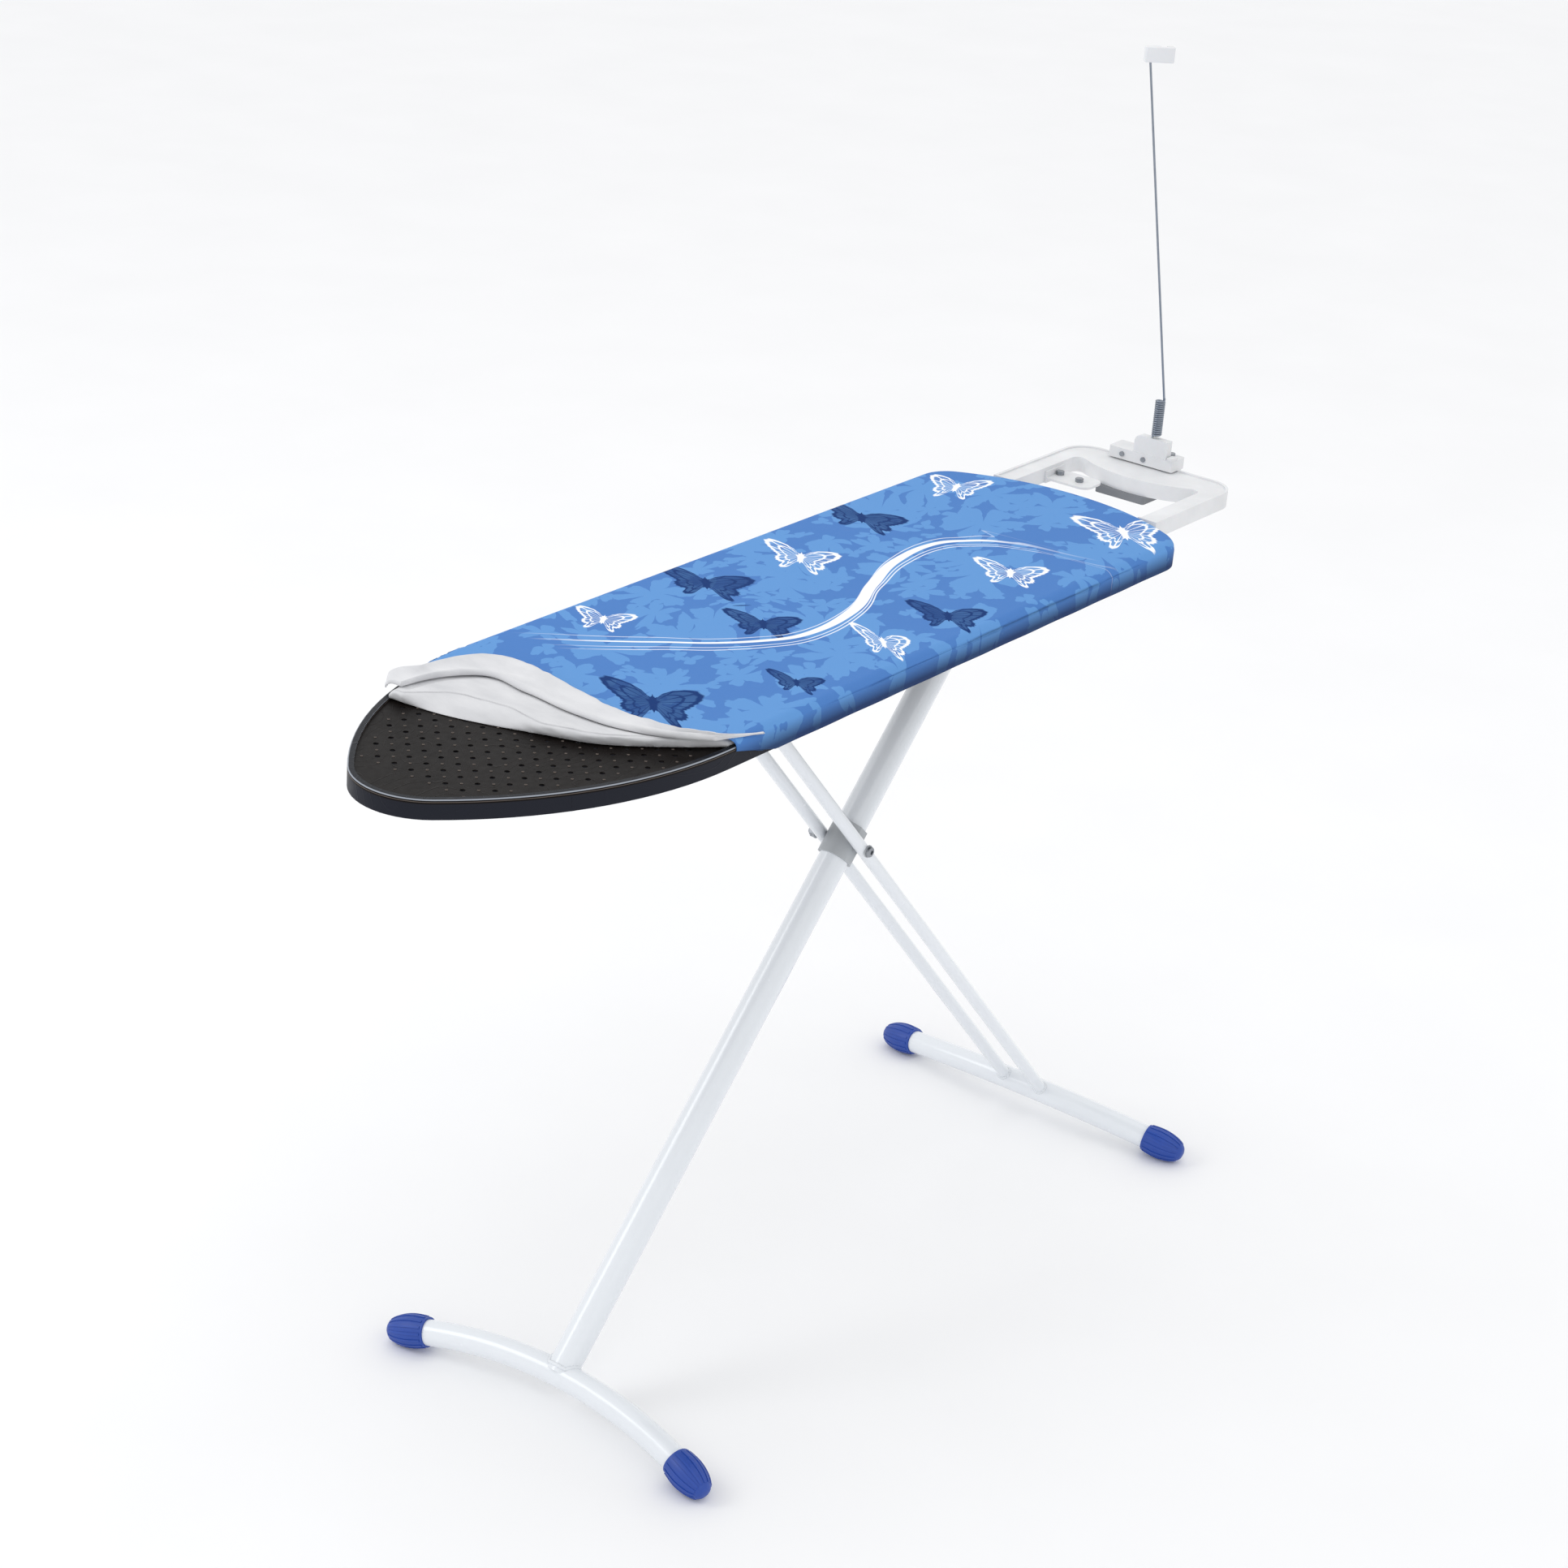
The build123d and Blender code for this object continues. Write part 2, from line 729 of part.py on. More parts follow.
# Plastic collar round the thick leg at the scissor pivot, flat on two sides.
with BuildPart() as pivot_collar:
    with BuildSketch(Plane(pivot - front_up * (collar_length / 2), x_dir=across, z_dir=front_up)):
        Circle(front_tube_radius + collar_wall)
        Rectangle(2 * collar_half, 80, mode=Mode.INTERSECT)
        Circle(front_tube_radius + seat_gap, mode=Mode.SUBTRACT)
    extrude(amount=collar_length)
    add(bush_bar, mode=Mode.SUBTRACT)
finish(pivot_collar, "pivot_collar")
finish(
    ring(pivot, -collar_half, collar_half, bush_radius, pivot_bolt_radius + running_gap),
    "pivot_bush",
)

# Twin rear tubes, with plugs in their tops.
slide_point = Vector(slide_x, 0, hinge_z)
rod_bar = cross_bar(slide_point, rod_radius + seat_gap, 100)
bolt_bar = cross_bar(pivot, pivot_bolt_radius + seat_gap, 60)
rear_length = rear_lower + upper_leg + rear_tube_overrun
for side, y in (("left", rear_tube_offset), ("right", -rear_tube_offset)):
    one_tube = leg_tube(
        rear_seat + across * y, rear_up, rear_length, rear_tube_radius, rear_tube_wall
    )
    with BuildPart() as rear_leg_tube:
        add(one_tube.part)
        add([rear_bar, rod_bar, bolt_bar], mode=Mode.SUBTRACT)
    finish(rear_leg_tube, f"rear_leg_tube_{side}")

plug_seat = slide_point + rear_up * rear_tube_overrun
plug_places = [(rear_tube_offset, 0), (-rear_tube_offset, 0)]
with BuildPart() as rear_leg_plugs:
    with BuildSketch(Plane(plug_seat, x_dir=across, z_dir=rear_up)):
        with Locations(*plug_places):
            Circle(rear_tube_radius)
    extrude(amount=1.4)
    with BuildSketch(Plane(plug_seat, x_dir=across, z_dir=rear_up)):
        with Locations(*plug_places):
            Circle(rear_tube_radius - rear_tube_wall - seat_gap)
    extrude(amount=-6)
finish(rear_leg_plugs, "rear_leg_plugs")

# Pivot bolt, its washers and its lock nut.
tube_outer_y = rear_tube_offset + rear_tube_radius
head_y = tube_outer_y + pivot_washer_thickness
with BuildPart() as pivot_bolt:
    with BuildSketch(Plane((pivot_x, -head_y, pivot_z), x_dir=(1, 0, 0), z_dir=across)):
        Circle(pivot_bolt_radius)
    extrude(amount=2 * head_y + pivot_nut_height + pivot_thread_end)
    with BuildSketch(Plane((pivot_x, -head_y, pivot_z), x_dir=(1, 0, 0), z_dir=across)):
        Circle(pivot_head_radius)
    extrude(amount=-pivot_head_height)
    fillet(pivot_bolt.edges().group_by(Axis.Y)[0], pivot_head_round)
    with BuildSketch(
        Plane((pivot_x, -head_y - pivot_head_height, pivot_z), x_dir=(1, 0, 0), z_dir=across)
    ):
        RegularPolygon(pivot_socket_radius, 6)
    extrude(amount=pivot_socket_depth, mode=Mode.SUBTRACT)
finish(pivot_bolt, "pivot_bolt")

with BuildPart() as pivot_nut:
    with BuildSketch(Plane((pivot_x, head_y, pivot_z), x_dir=(1, 0, 0), z_dir=across)):
        RegularPolygon(pivot_nut_flats / 2, 6, major_radius=False)
        Circle(pivot_bolt_radius + seat_gap, mode=Mode.SUBTRACT)
    extrude(amount=pivot_nut_height)
finish(pivot_nut, "pivot_nut")

washer_inner_y = rear_tube_offset - rear_tube_radius - pivot_washer_thickness
with BuildPart() as pivot_washers:
    for low_y in (washer_inner_y, tube_outer_y):
        for side in (-1, 1):
            plane = Plane((pivot_x, side * low_y, pivot_z), x_dir=(1, 0, 0), z_dir=(0, side, 0))
            with BuildSketch(plane):
                Circle(pivot_washer_radius)
                Circle(pivot_bolt_radius + seat_gap, mode=Mode.SUBTRACT)
            extrude(amount=pivot_washer_thickness)
finish(pivot_washers, "pivot_washers")


# ------------------------------------------------ cross rod, rails and shoes
rod_half = rail_web - 0.8
with BuildPart() as cross_rod:
    add(cross_bar(slide_point, rod_radius, rod_half))
finish(cross_rod, "cross_rod")

lip_top = hinge_z + shoe_half_height + face_gap
lip_bottom = hinge_z - shoe_half_height - face_gap
for name, side in (("left", 1), ("right", -1)):
    with BuildPart() as rail:
        for low_y, high_y, low_z, high_z in (
            (rail_web, rail_web + rail_sheet, lip_bottom - rail_sheet, board_bottom),
            (rail_inner, rail_web + rail_sheet, lip_bottom - rail_sheet, lip_bottom),
            (rail_inner, rail_web + rail_sheet, lip_top, lip_top + rail_sheet),
            (
                rail_web,
                rail_web + rail_sheet + rail_flange,
                board_bottom - rail_sheet,
                board_bottom,
            ),
        ):
            middle_y = side * (low_y + high_y) / 2
            with BuildSketch(Plane((rail_middle_x, middle_y, low_z))):
                Rectangle(rail_length, high_y - low_y)
            extrude(amount=high_z - low_z)
        with BuildSketch(Plane.XY.offset(board_bottom - rail_sheet)):
            with Locations(*[place for place in rail_screws if place[1] * side > 0]):
                Circle(screw_radius + screw_clearance)
        extrude(amount=rail_sheet, mode=Mode.SUBTRACT)
    finish(rail, f"rail_{name}")

    shoe_low, shoe_high = rail_inner + 0.5, rail_web - face_gap
    with BuildPart() as shoe:
        shoe_middle_y = side * (shoe_low + shoe_high) / 2
        with BuildSketch(Plane((slide_x, shoe_middle_y, hinge_z - shoe_half_height))):
            RectangleRounded(shoe_length, shoe_high - shoe_low, 3)
        extrude(amount=2 * shoe_half_height)
        with BuildSketch(Plane((slide_x, 0, hinge_z), x_dir=(1, 0, 0), z_dir=across)):
            Circle(rod_radius + running_gap)
        extrude(amount=100, both=True, mode=Mode.SUBTRACT)
    finish(shoe, f"slide_shoe_{name}")
finish(screws(rail_screws, board_bottom - rail_sheet), "rail_screws")


# --------------------------------------------------------------- height lever
lever_plane = Plane((lever_x, 0, 0), x_dir=(0, 1, 0), z_dir=(1, 0, 0))
ear_offset = lever_half_width + face_gap
with BuildPart() as lever_bracket:
    with BuildSketch(Plane((lever_x, lever_plate_y, board_bottom - sheet_thickness))):
        RectangleRounded(
            2 * (ear_offset + sheet_thickness), lever_plate_width, lever_plate_round
        )
    extrude(amount=sheet_thickness)
    for side in (-1, 1):
        with BuildSketch(lever_plane.offset(side * ear_offset)):
            with Locations((lever_pivot_y, lever_pivot_z)):
                Circle(lever_ear_radius)
            with Locations((lever_pivot_y, (lever_pivot_z + board_bottom - sheet_thickness) / 2)):
                Rectangle(2 * lever_ear_radius, board_bottom - sheet_thickness - lever_pivot_z)
        extrude(amount=side * sheet_thickness)
    with BuildSketch(lever_plane):
        with Locations((lever_pivot_y, lever_pivot_z)):
            Circle(lever_pin_radius + seat_gap)
    extrude(amount=60, both=True, mode=Mode.SUBTRACT)
    with BuildSketch(Plane.XY.offset(board_bottom - sheet_thickness)):
        with Locations(*lever_screws):
            Circle(screw_radius + screw_clearance)
    extrude(amount=sheet_thickness, mode=Mode.SUBTRACT)
finish(lever_bracket, "lever_bracket")
finish(screws(lever_screws, board_bottom - sheet_thickness), "lever_screws")

with BuildPart() as lever_pin:
    with BuildSketch(lever_plane.offset(-ear_offset - sheet_thickness - lever_pin_end)):
        with Locations((lever_pivot_y, lever_pivot_z)):
            Circle(lever_pin_radius)
    extrude(amount=2 * (ear_offset + sheet_thickness + lever_pin_end))
finish(lever_pin, "lever_pin")

hub_end = lever_half_width - lever_hub_short
strap_low = lever_pivot_z - lever_hub_radius - 1.0
strap_top = strap_low + lever_strap
pawl_top = hinge_z - rod_radius - 0.5
outer_strap_low = lever_pivot_z - 1.0
with BuildPart() as lever_arm:
    with BuildSketch(lever_plane.offset(-lever_half_width)):
        with Locations((lever_pivot_y, lever_pivot_z)):
            Circle(lever_hub_radius)
    extrude(amount=lever_half_width + hub_end)
    inner_length = lever_pivot_y - pawl_y
    strap_x = lever_x - lever_half_width
    with BuildSketch(Plane((strap_x, lever_pivot_y, strap_low))):
        Rectangle(hub_end + lever_half_width, inner_length, align=(Align.MIN, Align.MAX))
    extrude(amount=lever_strap)
    outer_length = lever_grip_y - lever_pivot_y
    with BuildSketch(Plane((strap_x, lever_pivot_y, outer_strap_low))):
        Rectangle(hub_end + lever_half_width, outer_length, align=(Align.MIN, Align.MIN))
    extrude(amount=lever_strap)
    pawl_middle_x = steepest_slide_x - pawl_length / 2 + pawl_end_margin
    with BuildSketch(Plane((pawl_middle_x, pawl_y, strap_low))):
        Rectangle(pawl_length, lever_strap)
    extrude(amount=pawl_top - strap_low)
    with BuildSketch(Plane((slide_x, pawl_y, hinge_z), x_dir=(1, 0, 0), z_dir=across)):
        for notch in range(pawl_notches):
            with Locations(((1 - notch) * pawl_notch_pitch, 0)):
                Circle(rod_radius + pawl_notch_clearance)
    extrude(amount=10, both=True, mode=Mode.SUBTRACT)
    with BuildSketch(lever_plane):
        with Locations((lever_pivot_y, lever_pivot_z)):
            Circle(lever_pin_radius + running_gap)
    extrude(amount=60, both=True, mode=Mode.SUBTRACT)
finish(lever_arm, "lever_arm")

grip_low = outer_strap_low - (lever_grip_thickness - lever_strap) / 2
with BuildPart() as lever_grip:
    with BuildSketch(Plane((lever_x, lever_grip_y, grip_low))):
        RectangleRounded(lever_grip_length, lever_grip_width, lever_grip_corner)
    extrude(amount=lever_grip_thickness)
    grip_edges = lever_grip.edges().group_by(Axis.Z)
    fillet(grip_edges[-1] + grip_edges[0], lever_grip_round)
    with BuildSketch(Plane((strap_x - seat_gap, lever_pivot_y, outer_strap_low - seat_gap))):
        Rectangle(
            hub_end + lever_half_width + 2 * seat_gap,
            outer_length + seat_gap,
            align=(Align.MIN, Align.MIN),
        )
    extrude(amount=lever_strap + 2 * seat_gap, mode=Mode.SUBTRACT)
finish(lever_grip, "lever_grip")


def coil(base, mean_radius, wire, turns):
    """A close-wound coil about base's normal: a stack of rings on a thin core."""
    pitch = 2 * wire
    with BuildPart() as body:
        with BuildSketch(Plane(base.origin, x_dir=base.x_dir, z_dir=-base.y_dir)):
            with Locations((mean_radius, turns * pitch / 2)):
                Rectangle(wire, turns * pitch - wire)
            for turn in range(turns):
                with Locations((mean_radius, (turn + 0.5) * pitch)):
                    Circle(wire)
        revolve(axis=Axis(base.origin, base.z_dir))
    return body


spring_x = lever_x + hub_end + lever_spring_gap
spring_base = Plane((spring_x, lever_pivot_y, lever_pivot_z), x_dir=across, z_dir=(1, 0, 0))
finish(
    coil(spring_base, lever_spring_radius, lever_spring_wire, lever_spring_turns),
    "lever_spring",
)


# ------------------------------------------------------------------ iron rest
rest_rear_x = board_rear_x + rest_board_gap + rest_reach
rest_length = rest_rear_x - rest_front_x
inner_y = rest_half_width - rest_arm_width
inner_corner_x = rest_rear_x - rest_bar_corner
with BuildSketch() as rest_outline:
    with Locations((rest_front_x, 0)):
        Rectangle(rest_length, 2 * rest_half_width, align=(Align.MIN, Align.CENTER))
    fillet(rest_outline.vertices().group_by(Axis.X)[-1], rest_corner_radius)
with BuildSketch() as rest_opening:
    with BuildLine():
        top_side = Line((rest_front_x - 20, inner_y), (inner_corner_x, inner_y))
        bowed = ThreePointArc(
            top_side @ 1,
            (rest_rear_x - rest_bar_middle, 0),
            (inner_corner_x, -inner_y),
        )
        Polyline(bowed @ 1, (rest_front_x - 20, -inner_y), top_side @ 0)
    make_face()
    fillet(rest_opening.vertices().group_by(Axis.X)[-1], rest_opening_corner)
with BuildSketch() as rest_plan:
    add(rest_outline.sketch)
    add(rest_opening.sketch, mode=Mode.SUBTRACT)
with BuildSketch() as rest_inside:
    add(rest_outline.sketch)
    offset(amount=-rest_lip_width, kind=Kind.ARC)
with BuildSketch() as rest_hollow:
    add(rest_plan.sketch)
    offset(amount=-rest_wall, kind=Kind.ARC)
rest_plate_top = rest_top - rest_lip_height

with BuildPart() as iron_rest:
    with BuildSketch(Plane.XY.offset(rest_bottom)):
        add(rest_plan.sketch)
    extrude(amount=rest_depth)
    with BuildSketch(Plane.XY.offset(rest_plate_top)):
        add(rest_inside.sketch)
    extrude(amount=rest_lip_height, mode=Mode.SUBTRACT)
    with BuildSketch(Plane.XY.offset(rest_bottom)):
        add(rest_hollow.sketch)
    extrude(amount=rest_plate_top - rest_wall - rest_bottom, mode=Mode.SUBTRACT)
    # Tenons that plug into the board's rear wall, solid back into the arms.
    for side in (-1, 1):
        with BuildSketch(Plane((tenon_x, side * arm_y, tenon_bottom))):
            Rectangle(tenon_length + rest_root_length, tenon_width, align=(Align.MIN, Align.CENTER))
        extrude(amount=tenon_height)
        with BuildSketch(Plane((rest_front_x, side * arm_y, rest_bottom))):
            Rectangle(rest_root_length, rest_arm_width - 2, align=(Align.MIN, Align.CENTER))
        extrude(amount=rest_depth - rest_lip_height - 1)
    with BuildSketch(Plane.XY.offset(tenon_bottom)):
        with Locations(*rest_screws):
            Circle(screw_radius + screw_clearance)
    extrude(amount=tenon_height, mode=Mode.SUBTRACT)
finish(iron_rest, "iron_rest")
with BuildPart() as rest_screw_set:
    for x, y in rest_screws:
        with BuildSketch(Plane((x, y, tenon_bottom - screw_head_height))):
            Circle(screw_head_radius)
        extrude(amount=screw_head_height)
        with BuildSketch(Plane((x, y, tenon_bottom))):
            Circle(screw_radius)
        extrude(amount=tenon_height + tenon_gap + 1.2)
finish(rest_screw_set, "rest_screws")

# Small bracket in the gap, off the far arm, with two bolts standing in it.
brace_x = board_rear_x + brace_from_board
brace_top = rest_bottom + brace_rise
brace_low = brace_top - brace_rise
brace_bolts = [(brace_x + along, inner_y - inward) for along, inward in brace_bolt_spots]
with BuildPart() as rest_brace:
    with BuildSketch(Plane((brace_x, inner_y - seat_gap, brace_top - brace_thickness))):
        Rectangle(brace_length, brace_width, align=(Align.MIN, Align.MAX))
    extrude(amount=brace_thickness)
    with BuildSketch(Plane((brace_x, inner_y - seat_gap, brace_low))):
        Rectangle(brace_length, brace_thickness, align=(Align.MIN, Align.MAX))
    extrude(amount=brace_upstand)
    corners = rest_brace.edges().filter_by(Axis.Z).group_by(Axis.Y)[0]
    fillet(corners, brace_corner)
    with BuildSketch(Plane.XY.offset(brace_low)):
        with Locations(*brace_bolts):
            Circle(bolt_radius + seat_gap)
    extrude(amount=brace_rise, mode=Mode.SUBTRACT)
finish(rest_brace, "rest_brace")

with BuildPart() as brace_bolt_set:
    for x, y in brace_bolts:
        with BuildSketch(Plane((x, y, brace_low))):
            Circle(bolt_radius)
        extrude(amount=brace_rise)
        with BuildSketch(Plane((x, y, brace_top))):
            RegularPolygon(brace_bolt_across, 6)
        extrude(amount=brace_bolt_head)
finish(brace_bolt_set, "brace_bolts")


# --------------------------------------------------------- flex holder's clamp
clamp_back_x = rest_rear_x + clamp_overhang
clamp_front_x = clamp_back_x - clamp_front
clamp_middle_y = (clamp_low_y + clamp_high_y) / 2
clamp_top = rest_top + clamp_height
jaw_middle_y = (jaw_low_y + jaw_high_y) / 2
block_x = clamp_front_x + 1 + clamp_block_thickness / 2
block_top = clamp_top + clamp_block_height
coil_x = block_x
coil_base_z = block_top + coil_lift
stub_y = coil_radius
jaw_bolts = [
    (rest_rear_x + jaw_bolt_inset, jaw_middle_y + side * jaw_bolt_spacing / 2) for side in (-1, 1)
]
screw_z = rest_top + clamp_height / 2
with BuildPart() as clamp_body:
    with BuildSketch(Plane((clamp_back_x, clamp_middle_y, rest_top))):
        Rectangle(clamp_front, clamp_high_y - clamp_low_y, align=(Align.MAX, Align.CENTER))
    extrude(amount=clamp_height)
    fillet(clamp_body.edges().filter_by(Axis.Z), clamp_round)
    with BuildSketch(Plane((clamp_back_x, jaw_middle_y, rest_bottom))):
        Rectangle(
            clamp_overhang - face_gap, jaw_high_y - jaw_low_y, align=(Align.MAX, Align.CENTER)
        )
    extrude(amount=rest_depth)
    block_middle_y = (clamp_block_low_y + clamp_block_high_y) / 2
    block_width = clamp_block_high_y - clamp_block_low_y
    with BuildSketch(Plane((block_x, block_middle_y, clamp_top))):
        Rectangle(clamp_block_thickness, block_width)
    extrude(amount=clamp_block_height)
    far_top = clamp_body.edges().filter_by(Axis.X).group_by(Axis.Z)[-1].sort_by(Axis.Y)[-1]
    fillet(far_top, block_shoulder)
    with BuildSketch(Plane((block_x - 1, clamp_low_y + 5, clamp_top))):
        Rectangle(catch_length, catch_width)
    extrude(amount=catch_height)
    with BuildSketch(Plane((coil_x, stub_y, block_top - stub_depth))):
        Circle(wire_radius + running_gap)
    extrude(amount=stub_depth, mode=Mode.SUBTRACT)
    with BuildSketch(Plane.XY.offset(rest_bottom)):
        with Locations(*jaw_bolts):
            Circle(bolt_radius + seat_gap)
    extrude(amount=rest_depth + clamp_height, mode=Mode.SUBTRACT)
    with BuildSketch(Plane((clamp_front_x, 0, screw_z), x_dir=(0, 1, 0), z_dir=(1, 0, 0))):
        with Locations(*[(y, 0) for y in base_screw_y]):
            Circle(screw_radius + seat_gap)
    extrude(amount=12, mode=Mode.SUBTRACT)
finish(clamp_body, "clamp_body")

with BuildPart() as clamp_jaw:
    with BuildSketch(Plane((clamp_back_x, jaw_middle_y, rest_bottom - jaw_thickness))):
        Rectangle(jaw_reach, jaw_high_y - jaw_low_y, align=(Align.MAX, Align.CENTER))
    extrude(amount=jaw_thickness)
    fillet(clamp_jaw.edges().filter_by(Axis.Z), jaw_round)
    with BuildSketch(Plane.XY.offset(rest_bottom - jaw_thickness)):
        with Locations(*jaw_bolts):
            Circle(bolt_radius + seat_gap)
    extrude(amount=jaw_thickness, mode=Mode.SUBTRACT)
finish(clamp_jaw, "clamp_jaw")

with BuildPart() as clamp_bolts:
    for x, y in jaw_bolts:
        with BuildSketch(Plane((x, y, rest_bottom - jaw_thickness))):
            Circle(bolt_radius)
        extrude(amount=jaw_thickness + rest_depth + clamp_height)
        with BuildSketch(Plane((x, y, clamp_top))):
            Circle(jaw_bolt_head_radius)
        extrude(amount=jaw_bolt_head)
        with BuildSketch(Plane((x, y, rest_bottom - jaw_thickness))):
            RegularPolygon(jaw_nut_radius, 6)
        extrude(amount=-jaw_nut_height)
finish(clamp_bolts, "clamp_bolts")

with BuildPart() as base_screw_set:
    plane = Plane((clamp_front_x, 0, screw_z), x_dir=(0, 1, 0), z_dir=(1, 0, 0))
    for y in base_screw_y:
        with BuildSketch(plane):
            with Locations((y, 0)):
                Circle(screw_radius)
        extrude(amount=screw_bite)
        with BuildSketch(plane):
            with Locations((y, 0)):
                Circle(screw_head_radius - 0.6)
        extrude(amount=-base_screw_head)
finish(base_screw_set, "base_screws")


# -------------------------------------------------------------- flex holder arm
coil_base = Plane((coil_x, 0, coil_base_z), x_dir=(1, 0, 0), z_dir=(0, 0, 1))
coil_height = coil_turns * 2 * wire_radius
with BuildPart() as arm_coil:
    add(coil(coil_base, coil_radius, wire_radius, coil_turns).part)
    with BuildSketch(Plane((coil_x, stub_y, block_top - stub_depth + 1))):
        Circle(wire_radius)
    extrude(amount=stub_depth - 1 + coil_lift + wire_radius)
finish(arm_coil, "arm_coil")

rod_foot = Vector(coil_x, -coil_radius, coil_base_z + coil_height + face_gap)
rod_head = rod_foot + Vector(-rod_back_lean, rod_lean, rod_rise)
with BuildPart() as arm_rod:
    with BuildSketch(Plane(rod_foot, z_dir=rod_head - rod_foot)):
        Circle(wire_radius)
    extrude(amount=(rod_head - rod_foot).length - 6)
finish(arm_rod, "arm_rod")

clip_along = Vector(1, -1, 0).normalized()
clip_plane = Plane(rod_head - Vector(0, 0, clip_height - 4), x_dir=clip_along, z_dir=(0, 0, 1))
with BuildPart() as cord_clip:
    with BuildSketch(clip_plane):
        with Locations((clip_width / 2 - 6, 0)):
            RectangleRounded(clip_width, clip_thickness, 2.5)
    extrude(amount=clip_height)
    fillet(cord_clip.edges().group_by(Axis.Z)[-1] + cord_clip.edges().group_by(Axis.Z)[0], 1.2)
    with BuildSketch(clip_plane):
        with Locations((clip_width / 2, clip_thickness / 2)):
            Rectangle(clip_slot_width, 2 * clip_slot_depth)
    extrude(amount=clip_height, mode=Mode.SUBTRACT)
    with BuildSketch(Plane(rod_foot, z_dir=rod_head - rod_foot)):
        Circle(wire_radius + seat_gap)
    extrude(amount=(rod_head - rod_foot).length - 5.5, mode=Mode.SUBTRACT)
finish(cord_clip, "cord_clip")
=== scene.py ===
"""Looks of a folding ironing board, built round its packed mechanical frame.

Lengths are metres, in the frame's own axes: X along the board with the nose at
-X, Y across it, Z up from the floor.
"""

from __future__ import annotations

import json
import logging
import math
from dataclasses import dataclass, field
from enum import Enum
from typing import Callable, Sequence

import bmesh
import bpy
import numpy as np
from mathutils import Matrix, Vector
from mathutils.kdtree import KDTree

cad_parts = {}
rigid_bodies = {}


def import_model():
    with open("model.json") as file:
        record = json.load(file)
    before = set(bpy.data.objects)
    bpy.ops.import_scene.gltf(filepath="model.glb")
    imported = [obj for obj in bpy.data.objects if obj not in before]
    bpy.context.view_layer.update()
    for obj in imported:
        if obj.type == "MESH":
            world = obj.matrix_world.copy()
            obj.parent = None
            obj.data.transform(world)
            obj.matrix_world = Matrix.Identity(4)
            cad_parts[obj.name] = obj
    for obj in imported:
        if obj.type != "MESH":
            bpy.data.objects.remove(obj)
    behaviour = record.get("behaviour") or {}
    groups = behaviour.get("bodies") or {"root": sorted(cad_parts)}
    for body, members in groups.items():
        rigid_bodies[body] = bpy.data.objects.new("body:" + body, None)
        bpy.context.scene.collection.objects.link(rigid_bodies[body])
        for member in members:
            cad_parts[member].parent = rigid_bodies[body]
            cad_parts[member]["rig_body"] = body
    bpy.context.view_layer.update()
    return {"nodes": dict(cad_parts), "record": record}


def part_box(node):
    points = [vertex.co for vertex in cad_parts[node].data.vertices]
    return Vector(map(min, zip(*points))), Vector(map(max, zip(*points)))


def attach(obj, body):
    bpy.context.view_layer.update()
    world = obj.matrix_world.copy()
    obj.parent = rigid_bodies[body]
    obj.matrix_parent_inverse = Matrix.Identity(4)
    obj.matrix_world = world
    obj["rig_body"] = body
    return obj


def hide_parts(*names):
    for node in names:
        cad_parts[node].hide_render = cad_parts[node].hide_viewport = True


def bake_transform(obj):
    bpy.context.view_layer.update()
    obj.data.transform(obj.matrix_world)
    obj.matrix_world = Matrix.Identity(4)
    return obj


LOG = logging.getLogger("ironing_board")
MM = 0.001
DECK_DROP = 0.0034  # from the top of the board's rim down to its deck

Array = np.ndarray
Colour = tuple[float, float, float]
Line = tuple[float, ...]
Material = bpy.types.Material
Piece = bpy.types.Object
Socket = bpy.types.NodeSocket


# --------------------------------------------------------------------- shading
class Field:
    """A number in a shader graph, with ordinary arithmetic."""

    def __init__(self, graph: "Graph", socket: Socket) -> None:
        """Wrap one output socket of a graph."""
        self.graph = graph
        self.socket = socket

    def apply(self, operation: str, *others: "Field | float") -> "Field":
        """Apply any one of the math node's operations.

        Args:
            operation: The math node's name for it, such as "SINE".
            others: Its further operands.

        Returns:
            The result as a new number.
        """
        node = self.graph.node("ShaderNodeMath", operation=operation)
        for index, value in enumerate((self, *others)):
            self.graph.feed(node.inputs[index], value)
        return Field(self.graph, node.outputs[0])

    def __add__(self, other: "Field | float") -> "Field":
        """Sum."""
        return self.apply("ADD", other)

    def __sub__(self, other: "Field | float") -> "Field":
        """Difference."""
        return self.apply("SUBTRACT", other)

    def __rsub__(self, other: float) -> "Field":
        """Difference from a number on the left."""
        return self.apply("MULTIPLY", -1.0).apply("ADD", other)

    def __mul__(self, other: "Field | float") -> "Field":
        """Product."""
        return self.apply("MULTIPLY", other)

    def __truediv__(self, other: "Field | float") -> "Field":
        """Quotient."""
        return self.apply("DIVIDE", other)

    def clamped(self) -> "Field":
        """This number, held between nought and one."""
        return self.apply("MAXIMUM", 0.0).apply("MINIMUM", 1.0)

    def below(self, limit: "Field | float", soft: float) -> "Field":
        """One where this is under a limit and nought above it (soft is the edge's width)."""
        return ((limit - self) * (1.0 / soft) + 0.5).clamped()


